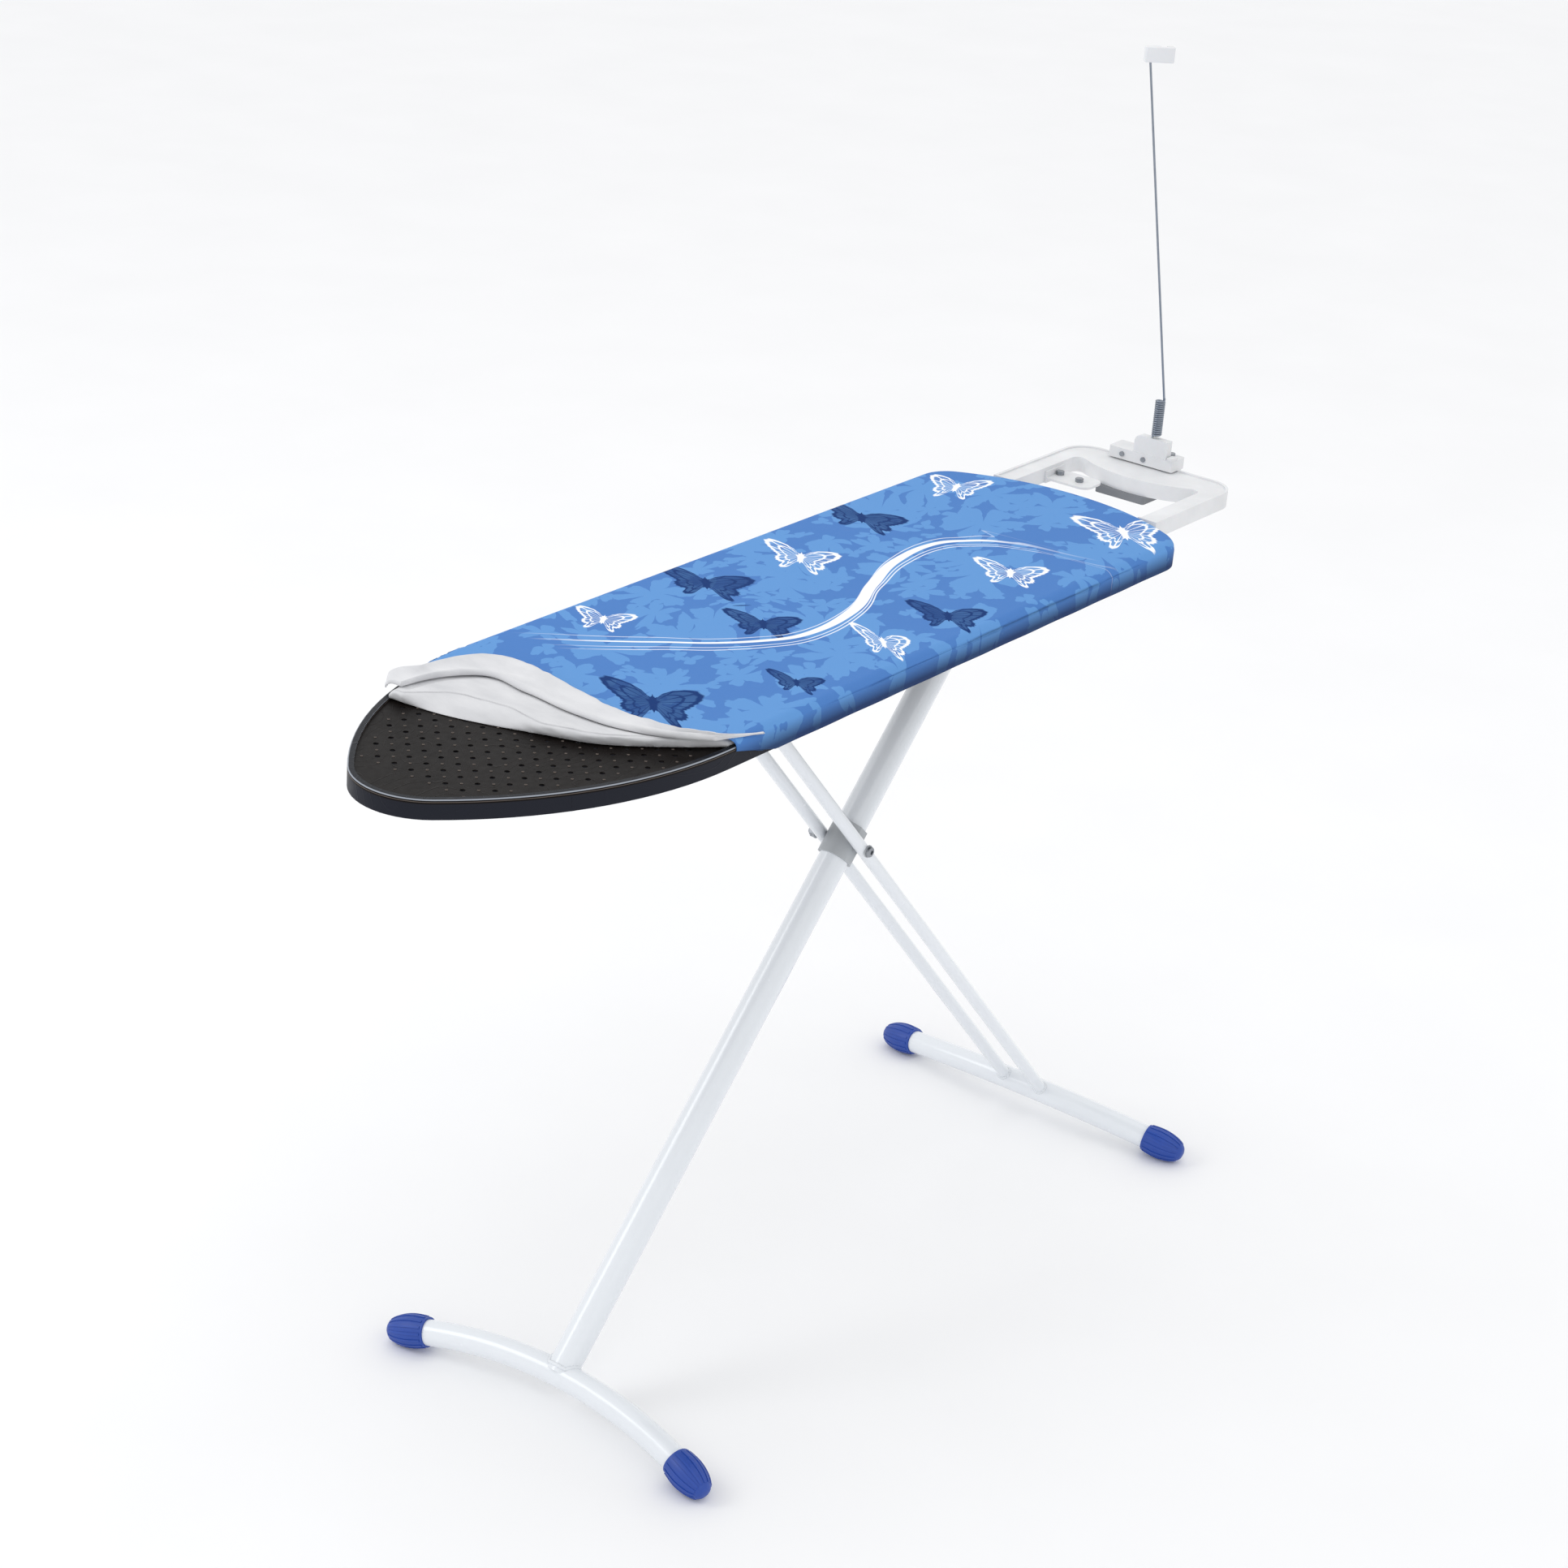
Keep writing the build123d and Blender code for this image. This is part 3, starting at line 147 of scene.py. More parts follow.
class Graph:
    """A material's node graph, built through short calls."""

    def __init__(self, name: str) -> None:
        """Start an empty principled material.

        Args:
            name: The material's name.
        """
        self.material = bpy.data.materials.new(name)
        self.material.use_nodes = True
        self.tree = self.material.node_tree
        self.shader = self.tree.nodes["Principled BSDF"]
        self.coordinates = self.tree.nodes.new("ShaderNodeTexCoord")

    def node(self, kind: str, **settings: object) -> bpy.types.Node:
        """Add a node and set its properties.

        Args:
            kind: The type of node.
            settings: Its properties, by name.

        Returns:
            The new node.
        """
        made = self.tree.nodes.new(kind)
        for key, value in settings.items():
            setattr(made, key, value)
        return made

    def feed(self, socket: Socket, value: object) -> None:
        """Link a field or socket into an input, or set the input's own value.

        Args:
            socket: The input.
            value: A field, a socket, or a plain value.
        """
        if isinstance(value, Field):
            self.tree.links.new(value.socket, socket)
        elif isinstance(value, Socket):
            self.tree.links.new(value, socket)
        else:
            socket.default_value = value

    def place(self) -> tuple[Field, Field, Field]:
        """The point being shaded, as three numbers in metres."""
        split = self.node("ShaderNodeSeparateXYZ")
        self.tree.links.new(self.coordinates.outputs["Object"], split.inputs[0])
        return tuple(Field(self, split.outputs[axis]) for axis in range(3))

    def vector(self, x: object, y: object, z: object) -> Socket:
        """Join three numbers into a vector."""
        joined = self.node("ShaderNodeCombineXYZ")
        for index, value in enumerate((x, y, z)):
            self.feed(joined.inputs[index], value)
        return joined.outputs[0]

    def noise(
        self,
        scale: float,
        detail: float = 2.0,
        roughness: float = 0.5,
        at: Socket | None = None,
    ) -> Field:
        """Smooth noise in object space, or at a given vector.

        Args:
            scale: Cells to a metre.
            detail: Octaves.
            roughness: How strong each next octave is.
            at: Where to read it, or none for the shaded point.

        Returns:
            The noise, from nought to one.
        """
        made = self.node("ShaderNodeTexNoise")
        self.tree.links.new(at or self.coordinates.outputs["Object"], made.inputs["Vector"])
        made.inputs["Scale"].default_value = scale
        made.inputs["Detail"].default_value = detail
        made.inputs["Roughness"].default_value = roughness
        return Field(self, made.outputs["Fac"])

    def mix(self, share: Field, low: object, high: object) -> Socket:
        """Mix two colours by a number.

        Args:
            share: Nought for the first, one for the second.
            low: The first colour or socket.
            high: The second colour or socket.

        Returns:
            The mixed colour's socket.
        """
        made = self.node("ShaderNodeMix", data_type="RGBA")
        self.feed(made.inputs[0], share)
        self.feed(made.inputs[6], low)
        self.feed(made.inputs[7], high)
        return made.outputs[2]

    def colour(self, value: object) -> None:
        """Set the base colour to a colour or to a socket."""
        self.feed(self.shader.inputs["Base Color"], value)

    def roughness(self, value: object) -> None:
        """Set the roughness to a number or a field."""
        self.feed(self.shader.inputs["Roughness"], value)

    def bump(self, height: Field, distance: float, strength: float = 1.0) -> None:
        """Bend the shading normal by a height in metres times distance.

        Args:
            height: The height at the shaded point.
            distance: How many metres a height of one stands for.
            strength: How much of the bend is used.
        """
        made = self.node("ShaderNodeBump")
        made.inputs["Strength"].default_value = strength
        made.inputs["Distance"].default_value = distance
        self.feed(made.inputs["Height"], height)
        self.tree.links.new(made.outputs[0], self.shader.inputs["Normal"])

    def constant(self, **values: float | Line) -> None:
        """Set unlinked sockets on the shader by their names, _ for a space."""
        for key, value in values.items():
            self.shader.inputs[key.replace("_", " ")].default_value = value


def rgba(red: float, green: float, blue: float) -> tuple[float, float, float, float]:
    """A display colour of 0 to 255 as a linear colour with alpha.

    Args:
        red: Red.
        green: Green.
        blue: Blue.

    Returns:
        The four linear channels.
    """

    def linear(channel: float) -> float:
        """Undo the display curve for one channel."""
        value = channel / 255.0
        return value / 12.92 if value <= 0.04045 else ((value + 0.055) / 1.055) ** 2.4

    return (linear(red), linear(green), linear(blue), 1.0)


@dataclass(frozen=True)
class Enamel:
    """Gloss powder coat on steel tube, with a faint orange-peel."""

    name: str = "white_enamel"
    shade: Colour = (231, 235, 240)

    def make(self) -> Material:
        """Build the material."""
        graph = Graph(self.name)
        patches = graph.noise(9.0, 3.0)
        graph.colour(graph.mix(patches, rgba(*self.shade), rgba(*(c - 7 for c in self.shade))))
        graph.roughness(graph.noise(60.0, 2.0) * 0.1 + 0.2)
        graph.constant(Coat_Weight=0.45, Coat_Roughness=0.08, Specular_IOR_Level=0.55)
        graph.bump(graph.noise(700.0, 1.0), 0.00008, 0.5)
        return graph.material


@dataclass(frozen=True)
class Moulding:
    """Moulded plastic with a spark-eroded grain and slight flow marks."""

    name: str
    shade: Colour
    gloss: float
    grain: float = 0.00006
    subsurface: float = 0.0

    def make(self) -> Material:
        """Build the material."""
        graph = Graph(self.name)
        flow = graph.noise(14.0, 4.0, 0.6)
        dark = tuple(channel * 0.86 for channel in self.shade)
        graph.colour(graph.mix(flow, rgba(*self.shade), rgba(*dark)))
        graph.roughness(graph.noise(90.0, 3.0) * 0.16 + (0.9 - self.gloss))
        graph.constant(Subsurface_Weight=self.subsurface, Subsurface_Scale=0.004)
        graph.bump(graph.noise(1500.0, 2.0, 0.6), self.grain, 0.7)
        return graph.material


@dataclass(frozen=True)
class TrayBlack:
    """Dark filled plastic of the board: fine grain and contour lines, with painted sheen on the rim
    top and side wall, a painted highlight line along the rim and painted highlights on the studs.
    """

    name: str = "black_board"
    rim_from: float = 0.9114
    rim_line: float = 0.9122
    side_below: float = 0.0016
    stud_top: float = 0.0004

    def make(self) -> Material:
        """Build the material."""
        graph = Graph(self.name)
        _, _, z = graph.place()
        dust = graph.noise(38.0, 5.0, 0.65)
        body = graph.mix(dust, rgba(6, 4, 4), rgba(27, 22, 20))
        rim = 1.0 - z.below(self.rim_from, 0.0011)
        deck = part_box("board_shell")[1][2] - DECK_DROP
        # Painted reflection: the side wall below the deck is turned a lighter blue-grey than the
        # deck.
        body = graph.mix(z.below(deck - self.side_below, 0.0010), body, rgba(34, 36, 44))
        # Painted highlight: the studs' tops are turned lighter grey, and so is a thin band of the
        # rim's slope at the same height.
        stud = (z - deck - self.stud_top).apply("ABSOLUTE").below(0.0003, 0.0002)
        body = graph.mix(stud * 0.75, body, rgba(118, 108, 102))
        # Painted sheen: the rim top is turned a lighter blue-grey. The same mask also lowers the
        # roughness there.
        body = graph.mix(rim, body, rgba(30, 32, 38))
        # Painted highlight: a thin bright line along the rim's top edge, standing in for a gloss
        # reflection.
        painted_highlight = (z - self.rim_line).apply("ABSOLUTE").below(0.0005, 0.0004)
        graph.colour(graph.mix(painted_highlight * 0.75, body, rgba(178, 184, 194)))
        graph.roughness(graph.noise(120.0, 3.0) * 0.2 + 0.3 - rim * 0.16)
        contour = (graph.noise(11.0, 0.0) * 46.0).apply("SINE").apply("ABSOLUTE").below(0.12, 0.1)
        height = graph.noise(900.0, 3.0, 0.7) * 0.25 + contour * 0.8
        graph.bump(height, 0.00035, 0.6)
        graph.constant(Specular_IOR_Level=0.07)
        return graph.material


@dataclass(frozen=True)
class PlatedSteel:
    """Zinc plate or bright wire, with drawn streaks and dull spangle."""

    name: str
    shade: Colour
    rough: float

    def make(self) -> Material:
        """Build the material."""
        graph = Graph(self.name)
        spangle = graph.noise(130.0, 4.0, 0.7)
        dull = tuple(channel * 0.8 for channel in self.shade)
        graph.colour(graph.mix(spangle, rgba(*self.shade), rgba(*dull)))
        graph.roughness(graph.noise(320.0, 3.0) * 0.22 + self.rough)
        graph.constant(Metallic=1.0)
        graph.bump(graph.noise(1100.0, 2.0), 0.00005, 0.5)
        return graph.material


def weave(graph: Graph, thread: float) -> Field:
    """Height of a plain weave, from nought to one, at a thread spacing in metres.

    Args:
        graph: The material's graph.
        thread: The spacing.

    Returns:
        The height.
    """
    x, y, z = graph.place()
    turn = 2 * math.pi / thread
    across = (x * turn).apply("SINE")
    along = ((y + z) * turn).apply("SINE")
    return across * along * 0.5 + 0.5


@dataclass(frozen=True)
class Felt:
    """White needled felt or brushed cotton back, with fibres, soft creases and painted shade in the
    folds.
    """

    name: str
    light: Colour = (224, 224, 226)
    # dark is painted shade: the colour the folds' hollows are darkened to.
    dark: Colour = (184, 185, 189)
    crease: float = 0.0011

    def make(self) -> Material:
        """Build the material."""
        graph = Graph(self.name)
        x, y, z = graph.place()
        stretched = graph.vector(x, y * 0.35, z)
        folds_and_shade = graph.noise(46.0, 4.0, 0.55, at=stretched)
        fibre = graph.noise(1600.0, 4.0, 0.75)
        # Painted shade: the fold noise mixes the colour towards the dark shade in the hollows, and
        # also drives the bump.
        graph.colour(graph.mix(folds_and_shade, rgba(*self.dark), rgba(*self.light)))
        graph.roughness(0.95)
        graph.constant(Sheen_Weight=0.35, Sheen_Roughness=0.5, Specular_IOR_Level=0.15)
        graph.bump(folds_and_shade + fibre * 0.12, self.crease, 0.8)
        return graph.material


class Wings(Enum):
    """How a printed butterfly is drawn."""

    WHITE = 0.0
    NAVY = 1.0


@dataclass(frozen=True)
class Butterfly:
    """One printed butterfly.

    It has its middle, the step from there to its right wing's tip, and the step
    to its head. The print is drawn out along the board, so these two steps have
    their own lengths.
    """

    middle: tuple[float, float]
    wing: tuple[float, float]
    head: tuple[float, float]
    wings: Wings

    def local(self, x: Field, y: Field) -> tuple[Field, Field]:
        """Turn a place on the board into shares of the wing and head steps.

        Args:
            x: Place along the board.
            y: Place across it.

        Returns:
            The shares of the wing step and of the head step.
        """
        (wx, wy), (hx, hy) = self.wing, self.head
        area = wx * hy - wy * hx
        dx, dy = x - self.middle[0], y - self.middle[1]
        return (
            dx * (hy / area) - dy * (hx / area),
            dy * (wx / area) - dx * (wy / area),
        )


def printed(middle: tuple, wing: tuple, head: tuple, wings: Wings) -> Butterfly:
    """A butterfly with its places given in millimetres."""
    steps = [tuple(value * MM for value in pair) for pair in (middle, wing, head)]
    return Butterfly(*steps, wings)


@dataclass(frozen=True)
class PrintedCotton:
    """Blue floral cotton with butterflies and a white ribbon of lines."""

    name: str = "printed_cotton"
    ground: Colour = (77, 126, 193)
    leaf: Colour = (97, 150, 210)
    navy: Colour = (2, 50, 112)
    white: Colour = (248, 250, 254)
    # hem is painted shade: the dark blue that the skirt fades to towards its bottom edge.
    hem: Colour = (22, 32, 70)
    reach: float = 1.19
    wall_fades_at: float = 0.9065
    wall_fade: float = 0.021
    thread: float = 0.0009
    butterflies: tuple[Butterfly, ...] = (
        printed((448, 122), (20, -38), (50, 20), Wings.WHITE),
        printed((82, 99), (12, -52), (46, 30), Wings.WHITE),
        printed((-252, 129), (14, -36), (34, 20), Wings.WHITE),
        printed((231, -106), (18, -46), (42, 26), Wings.WHITE),
        printed((-71, -133), (4, -42), (36, 34), Wings.WHITE),
        printed((464, -122), (40, -46), (54, 50), Wings.WHITE),
        printed((257, 135), (8, -70), (44, 32), Wings.NAVY),
        printed((-72, 123), (23, -62), (42, 38), Wings.NAVY),
        printed((-128, -5), (22, -44), (36, 30), Wings.NAVY),
        printed((53, -137), (22, -46), (38, 30), Wings.NAVY),
        printed((-241, -138), (12, -34), (26, 22), Wings.NAVY),
        printed((-401, -66), (22, -58), (52, 46), Wings.NAVY),
    )
    ribbon_from: float = -0.400
    ribbon_to: float = 0.480
    ribbon_span: float = 0.400
    ribbon_way: tuple[tuple[float, float], ...] = (
        (-0.400, 0.190), (-0.366, 0.153), (-0.271, 0.052), (-0.174, -0.034), (-0.115, -0.058),
        (-0.024, -0.052), (0.075, -0.014), (0.164, 0.014), (0.239, 0.017), (0.287, -0.007),
        (0.329, -0.064), (0.366, -0.179), (0.480, -0.200),
    )
    outline: tuple[tuple[float, float], ...] = (
        (0, 0.34), (14, 0.24), (26, 0.52), (40, 0.94), (53, 1.17), (64, 1.04), (78, 0.80),
        (92, 0.66), (103, 0.60), (116, 0.70), (132, 0.76), (144, 0.72), (150, 0.98),
        (156, 0.96), (163, 0.56), (171, 0.34), (180, 0.46),
    )

    def make(self) -> Material:
        """Build the material."""
        graph = Graph(self.name)
        x, y, z = graph.place()
        colour = graph.mix(self.leaves(graph, x, y), rgba(*self.ground), rgba(*self.leaf))
        ink, cells, navy = self.wing_masks(graph, x, y)
        blot = graph.noise(30.0, 2.0) * 0.45
        dark = ink * navy * (1.0 - cells * blot)
        colour = graph.mix(dark, colour, rgba(*self.navy))
        light = ink * (1.0 - navy) * (1.0 - cells * 0.95)
        colour = graph.mix(light, colour, rgba(*self.white))
        colour = graph.mix(self.ribbon(graph, x, y), colour, rgba(*self.white))
        # Painted shade: the skirt darkens towards its bottom edge, where it turns under the board.
        edge = z.below(self.wall_fades_at, self.wall_fade)
        colour = graph.mix(edge * 0.86, colour, rgba(*self.hem))
        graph.colour(colour)
        graph.roughness(graph.noise(300.0, 2.0) * 0.14 + 0.72)
        graph.constant(Sheen_Weight=0.02, Sheen_Roughness=0.4, Specular_IOR_Level=0.12)
        graph.bump(weave(graph, self.thread) * 0.4 + graph.noise(13.0, 2.0) * 1.6, 0.0005, 0.5)
        return graph.material

    def leaves(self, graph: Graph, x: Field, y: Field) -> Field:
        """Leaf and flower shapes in the lighter blue, as a mask.

        Args:
            graph: The material's graph.
            x: Place along the board.
            y: Place across it.

        Returns:
            One on a leaf, nought between leaves.
        """
        ragged = graph.noise(70.0, 2.0, 0.6) - 0.5
        sway = (graph.noise(9.0, 1.0) - 0.5) * 0.10
        total: Field | None = None
        for scale, petals, size in ((7.5, 6.0, 0.46), (11.0, 5.0, 0.37), (17.0, 3.0, 0.30)):
            cell = graph.node("ShaderNodeTexVoronoi", voronoi_dimensions="2D")
            where = graph.vector(x + sway + scale * 0.37, y * 1.25 + sway - scale * 0.29, 0.0)
            graph.tree.links.new(where, cell.inputs["Vector"])
            cell.inputs["Scale"].default_value = scale
            here, centre = graph.node("ShaderNodeSeparateXYZ"), graph.node("ShaderNodeSeparateXYZ")
            graph.tree.links.new(where, here.inputs[0])
            graph.tree.links.new(cell.outputs["Position"], centre.inputs[0])
            dx = Field(graph, here.outputs[0]) - Field(graph, centre.outputs[0])
            dy = Field(graph, here.outputs[1]) - Field(graph, centre.outputs[1])
            tint = graph.node("ShaderNodeSeparateColor")
            graph.tree.links.new(cell.outputs["Color"], tint.inputs[0])
            angle = dy.apply("ARCTAN2", dx) + Field(graph, tint.outputs[0]) * 6.28
            far = (dx * dx + dy * dy).apply("SQRT") * scale
            lobe = (angle * (petals / 2)).apply("COSINE").apply("ABSOLUTE").apply("POWER", 0.7)
            split = (angle * (petals * 2.5)).apply("SINE") * 0.07
            reach = (lobe * 0.78 + 0.20 + split + ragged * 0.45) * size
            shape = far.below(reach, 0.012)
            total = shape if total is None else total.apply("MAXIMUM", shape)
        return total

    def wing_masks(self, graph: Graph, x: Field, y: Field) -> tuple[Field, Field, Field]:
        """All the butterflies at once.

        Args:
            graph: The material's graph.
            x: Place along the board.
            y: Place across it.

        Returns:
            The wings' mask, the open cells' mask, and whether the ink is navy.
        """
        across = along = near = navy = None
        for item in self.butterflies:
            u, v = item.local(x, y)
            inside = (u * u + v * v).apply("LESS_THAN", self.reach**2)
            parts = (u * inside, v * inside, inside, inside * item.wings.value)
            if near is None:
                across, along, near, navy = parts
            else:
                across, along = across + parts[0], along + parts[1]
                near, navy = near + parts[2], navy + parts[3]
        side = across.apply("ABSOLUTE")
        angle = side.apply("ARCTAN2", along) * (1 / math.pi)
        far = (across * across + along * along).apply("SQRT")
        wing = self.curve(graph, angle, [(a / 180, r) for a, r in self.outline])
        scallop = (angle * 70.0).apply("SINE").apply("ABSOLUTE") * 0.035
        share = far / (wing - scallop)
        ink = share.below(1.0, 0.05) * near
        vein = (angle * 33.0).apply("SINE").apply("ABSOLUTE")
        open_vein = ((vein - 0.16) * 8.0).clamped()
        inner = share.below(0.86, 0.05) * (1.0 - share.below(0.14, 0.05))
        gap = ((share - 0.60).apply("ABSOLUTE")).below(0.035, 0.03)
        body = side.below(0.07, 0.03)
        cells = inner * open_vein * (1.0 - gap) * (1.0 - body)
        return ink, cells, navy

    def curve(self, graph: Graph, value: Field, points: Sequence[tuple[float, float]]) -> Field:
        """Read a smooth curve through points, with both of its axes from 0 up.

        Args:
            graph: The material's graph.
            value: Where to read it.
            points: Its points, as place and height.

        Returns:
            The curve's height.
        """
        made = graph.node("ShaderNodeFloatCurve")
        top = max(height for _, height in points)
        line = made.mapping.curves[0]
        while len(line.points) < len(points):
            line.points.new(0.5, 0.5)
        for point, (place, height) in zip(line.points, sorted(points)):
            point.location = (place, height / top)
        made.mapping.update()
        graph.feed(made.inputs["Value"], value)
        return Field(graph, made.outputs[0]) * top

    def ribbon(self, graph: Graph, x: Field, y: Field) -> Field:
        """The white ribbon and its thin companion lines, as a mask.

        Args:
            graph: The material's graph.
            x: Place along the board.
            y: Place across it.

        Returns:
            One on a line, nought beside it.
        """
        length = self.ribbon_to - self.ribbon_from
        half = self.ribbon_span / 2
        way = [((px - self.ribbon_from) / length, py + half) for px, py in self.ribbon_way]
        place = (x - self.ribbon_from) * (1 / length)
        centre = self.curve(graph, place, way) - half
        ahead = self.curve(graph, place + 0.01, way) - half
        slope = (ahead - centre) * (1 / (0.01 * length))
        steep = (slope * slope + 1.0).apply("SQRT")
        gap = (y - centre) / steep
        swell = ((x - 0.060) * (x - 0.060) * -22.0).apply("EXPONENT")
        end = x.below(0.325, 0.05) * (1.0 - x.below(-0.330, 0.06))
        total = gap.apply("ABSOLUTE").below(swell * 0.0056 + 0.0015, 0.0010)
        fan = (x - 0.05).apply("ABSOLUTE")
        for lean, start, thick in (
            (-0.036, -0.0115, 0.0008), (-0.020, -0.0085, 0.0007), (0.026, 0.0060, 0.0006),
        ):
            drift = fan * lean + start
            line = (gap - drift).apply("ABSOLUTE").below(thick, 0.0009)
            total = total.apply("MAXIMUM", line * 0.9)
        return total * end


# ---------------------------------------------------------------- mesh helpers
def new_piece(
    name: str,
    points: Array,
    faces: Sequence[Sequence[int]],
    material: Material,
    smooth: bool = True,
) -> Piece:
    """Make a mesh object with one material.

    Args:
        name: The piece's name.
        points: Its vertices, one row each.
        faces: Its faces, as vertex numbers.
        material: What it is made of.
        smooth: Whether its faces shade smoothly.

    Returns:
        The new object, in the scene.
    """
    mesh = bpy.data.meshes.new(name)
    mesh.from_pydata([tuple(map(float, point)) for point in points], [], [tuple(f) for f in faces])
    mesh.validate()
    mesh.update()
    for polygon in mesh.polygons:
        polygon.use_smooth = smooth
    mesh.materials.append(material)
    made = bpy.data.objects.new(name, mesh)
    bpy.context.scene.collection.objects.link(made)
    return made


def grid_faces(
    rows: int, columns: int, close_rows: bool = False, close_columns: bool = False
) -> list[tuple[int, ...]]:
    """Quads over a grid of vertices laid out row by row.

    Args:
        rows: How many rows.
        columns: How many vertices a row has.
        close_rows: Whether the last row joins the first.
        close_columns: Whether each row is a ring.

    Returns:
        The faces, as vertex numbers.
    """
    faces = []
    for row in range(rows if close_rows else rows - 1):
        for column in range(columns if close_columns else columns - 1):
            after, beside = (row + 1) % rows, (column + 1) % columns
            faces.append(
                (
                    row * columns + column,
                    row * columns + beside,
                    after * columns + beside,
                    after * columns + column,
                )
            )
    return faces


def apply_modifier(piece: Piece, kind: str, **settings: object) -> None:
    """Add a modifier to a piece and apply it at once.

    Args:
        piece: The piece.
        kind: The type of modifier.
        settings: Its properties, by name.
    """
    modifier = piece.modifiers.new(kind.lower(), kind)
    for key, value in settings.items():
        setattr(modifier, key, value)
    with bpy.context.temp_override(object=piece, active_object=piece, selected_objects=[piece]):
        bpy.ops.object.modifier_apply(modifier=modifier.name)


def wire_piece(
    name: str, path: Array, radius: float, material: Material, sides: int = 10
) -> Piece:
    """A round wire swept along a path of points, with closed ends.

    Args:
        name: The piece's name.
        path: Points along the wire's centreline, one row each.
        radius: The wire's radius.
        material: What it is made of.
        sides: How many sides its section has.

    Returns:
        The new wire.
    """
    tangents = np.gradient(path, axis=0)
    tangents /= np.linalg.norm(tangents, axis=1)[:, None]
    normal = np.cross(tangents[0], (0.3, 0.5, 0.81))
    rings = []
    for point, tangent in zip(path, tangents):
        normal = normal - tangent * normal.dot(tangent)
        normal /= np.linalg.norm(normal)
        other = np.cross(tangent, normal)
        angles = np.linspace(0, 2 * math.pi, sides, endpoint=False)
        ring = np.outer(np.cos(angles), normal) + np.outer(np.sin(angles), other)
        rings.append(point + radius * ring)
    count = len(rings)
    points = np.vstack(rings)
    faces = grid_faces(count, sides, close_columns=True)
    faces.append(tuple(range(sides)))
    faces.append(tuple(reversed(range((count - 1) * sides, count * sides))))
    return new_piece(name, points, [tuple(reversed(f)) for f in faces], material)


def through(stations: Sequence[float], values: Sequence[float], at: Array) -> Array:
    """A smooth curve through a few stations, read at many places.

    Args:
        stations: Where the curve is known.
        values: Its height there.
        at: Where to read it.

    Returns:
        The curve's heights.
    """
    order = np.argsort(stations)
    known, heights = np.asarray(stations, float)[order], np.asarray(values, float)[order]
    slopes = np.gradient(heights, known)
    places = np.clip(np.asarray(at, float), known[0], known[-1])
    index = np.clip(np.searchsorted(known, places) - 1, 0, len(known) - 2)
    width = known[index + 1] - known[index]
    t = (places - known[index]) / width
    return (
        (2 * t**3 - 3 * t**2 + 1) * heights[index]
        + (t**3 - 2 * t**2 + t) * width * slopes[index]
        + (-2 * t**3 + 3 * t**2) * heights[index + 1]
        + (t**3 - t**2) * width * slopes[index + 1]
    )


def ripple(x: Array, y: Array, seed: float) -> Array:
    """Gentle, repeatable unevenness between about -1 and 1.

    Args:
        x: Places along.
        y: Places across.
        seed: Which unevenness it is.

    Returns:
        The unevenness.
    """
    return (
        np.sin(x * 61.0 + y * 23.0 + seed)
        + np.sin(x * 33.0 - y * 71.0 + 2.1 * seed)
        + 0.6 * np.sin(x * 129.0 + y * 97.0 + 0.7 * seed)
        + 0.4 * np.sin(x * 211.0 - y * 163.0 + 1.9 * seed)
    ) / 3.0


# --------------------------------------------------------------- board's plan
@dataclass
class Plan:
    """The board's outline in plan, worked out from the frame's own boxes."""

    nose_length: float = 0.340
    side_radius: float = 0.450
    rear_bow: float = 0.060
    corner_radius: float = 0.055
    front_x: float = field(init=False)
    rear_x: float = field(init=False)
    half: float = field(init=False)

    def __post_init__(self) -> None:
        """Read the board's extents."""
        low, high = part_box("board_shell")
        self.front_x, self.rear_x, self.half = low[0], high[0], high[1]

    def nose_x(self, y: Array) -> Array:
        """Where the nose's outline lies at a distance y from the middle.

        Args:
            y: The distances.

        Returns:
            Places along the board.
        """
        centre = self.half - self.side_radius
        tip = (self.side_radius**2 - self.nose_length**2 - centre**2) / (
            2 * (self.side_radius - self.nose_length)
        )
        slope = math.hypot(tip - self.nose_length, centre)
        tip_y = tip * -centre / slope
        size = np.minimum(np.abs(y), self.half)
        round_tip = tip - np.sqrt(np.maximum(tip**2 - np.minimum(size, tip_y) ** 2, 0))
        long_side = self.nose_length - np.sqrt(
            np.maximum(self.side_radius**2 - (size - centre) ** 2, 0)
        )
        return self.front_x + np.where(size < tip_y, round_tip, long_side)

    def half_at(self, x: Array) -> Array:
        """Half the board's width at places along it.

        Args:
            x: The places.

        Returns:
            Half widths.
        """
        before = np.clip(self.nose_length - (x - self.front_x), 0, self.side_radius * 0.8)
        return self.half - self.side_radius + np.sqrt(self.side_radius**2 - before**2)

    def tail_x(self, y: Array) -> Array:
        """Where the rear end's outline lies at a distance y from the middle.

        Args:
            y: The distances.

        Returns:
            Places along the board.
        """
        radius = (self.half**2 + self.rear_bow**2) / (2 * self.rear_bow)
        size = np.minimum(np.abs(y), self.half)
        bow = self.rear_x - (radius - np.sqrt(radius**2 - size**2))
        # The corner's arc is tangent to the bow and to the side.
        centre_y = self.half - self.corner_radius
        reach = radius - self.corner_radius
        centre_x = self.rear_x - radius + math.sqrt(reach**2 - centre_y**2)
        touch_y = centre_y * radius / reach
        corner = centre_x + np.sqrt(np.maximum(self.corner_radius**2 - (size - centre_y) ** 2, 0))
        return np.where(size < touch_y, bow, corner)


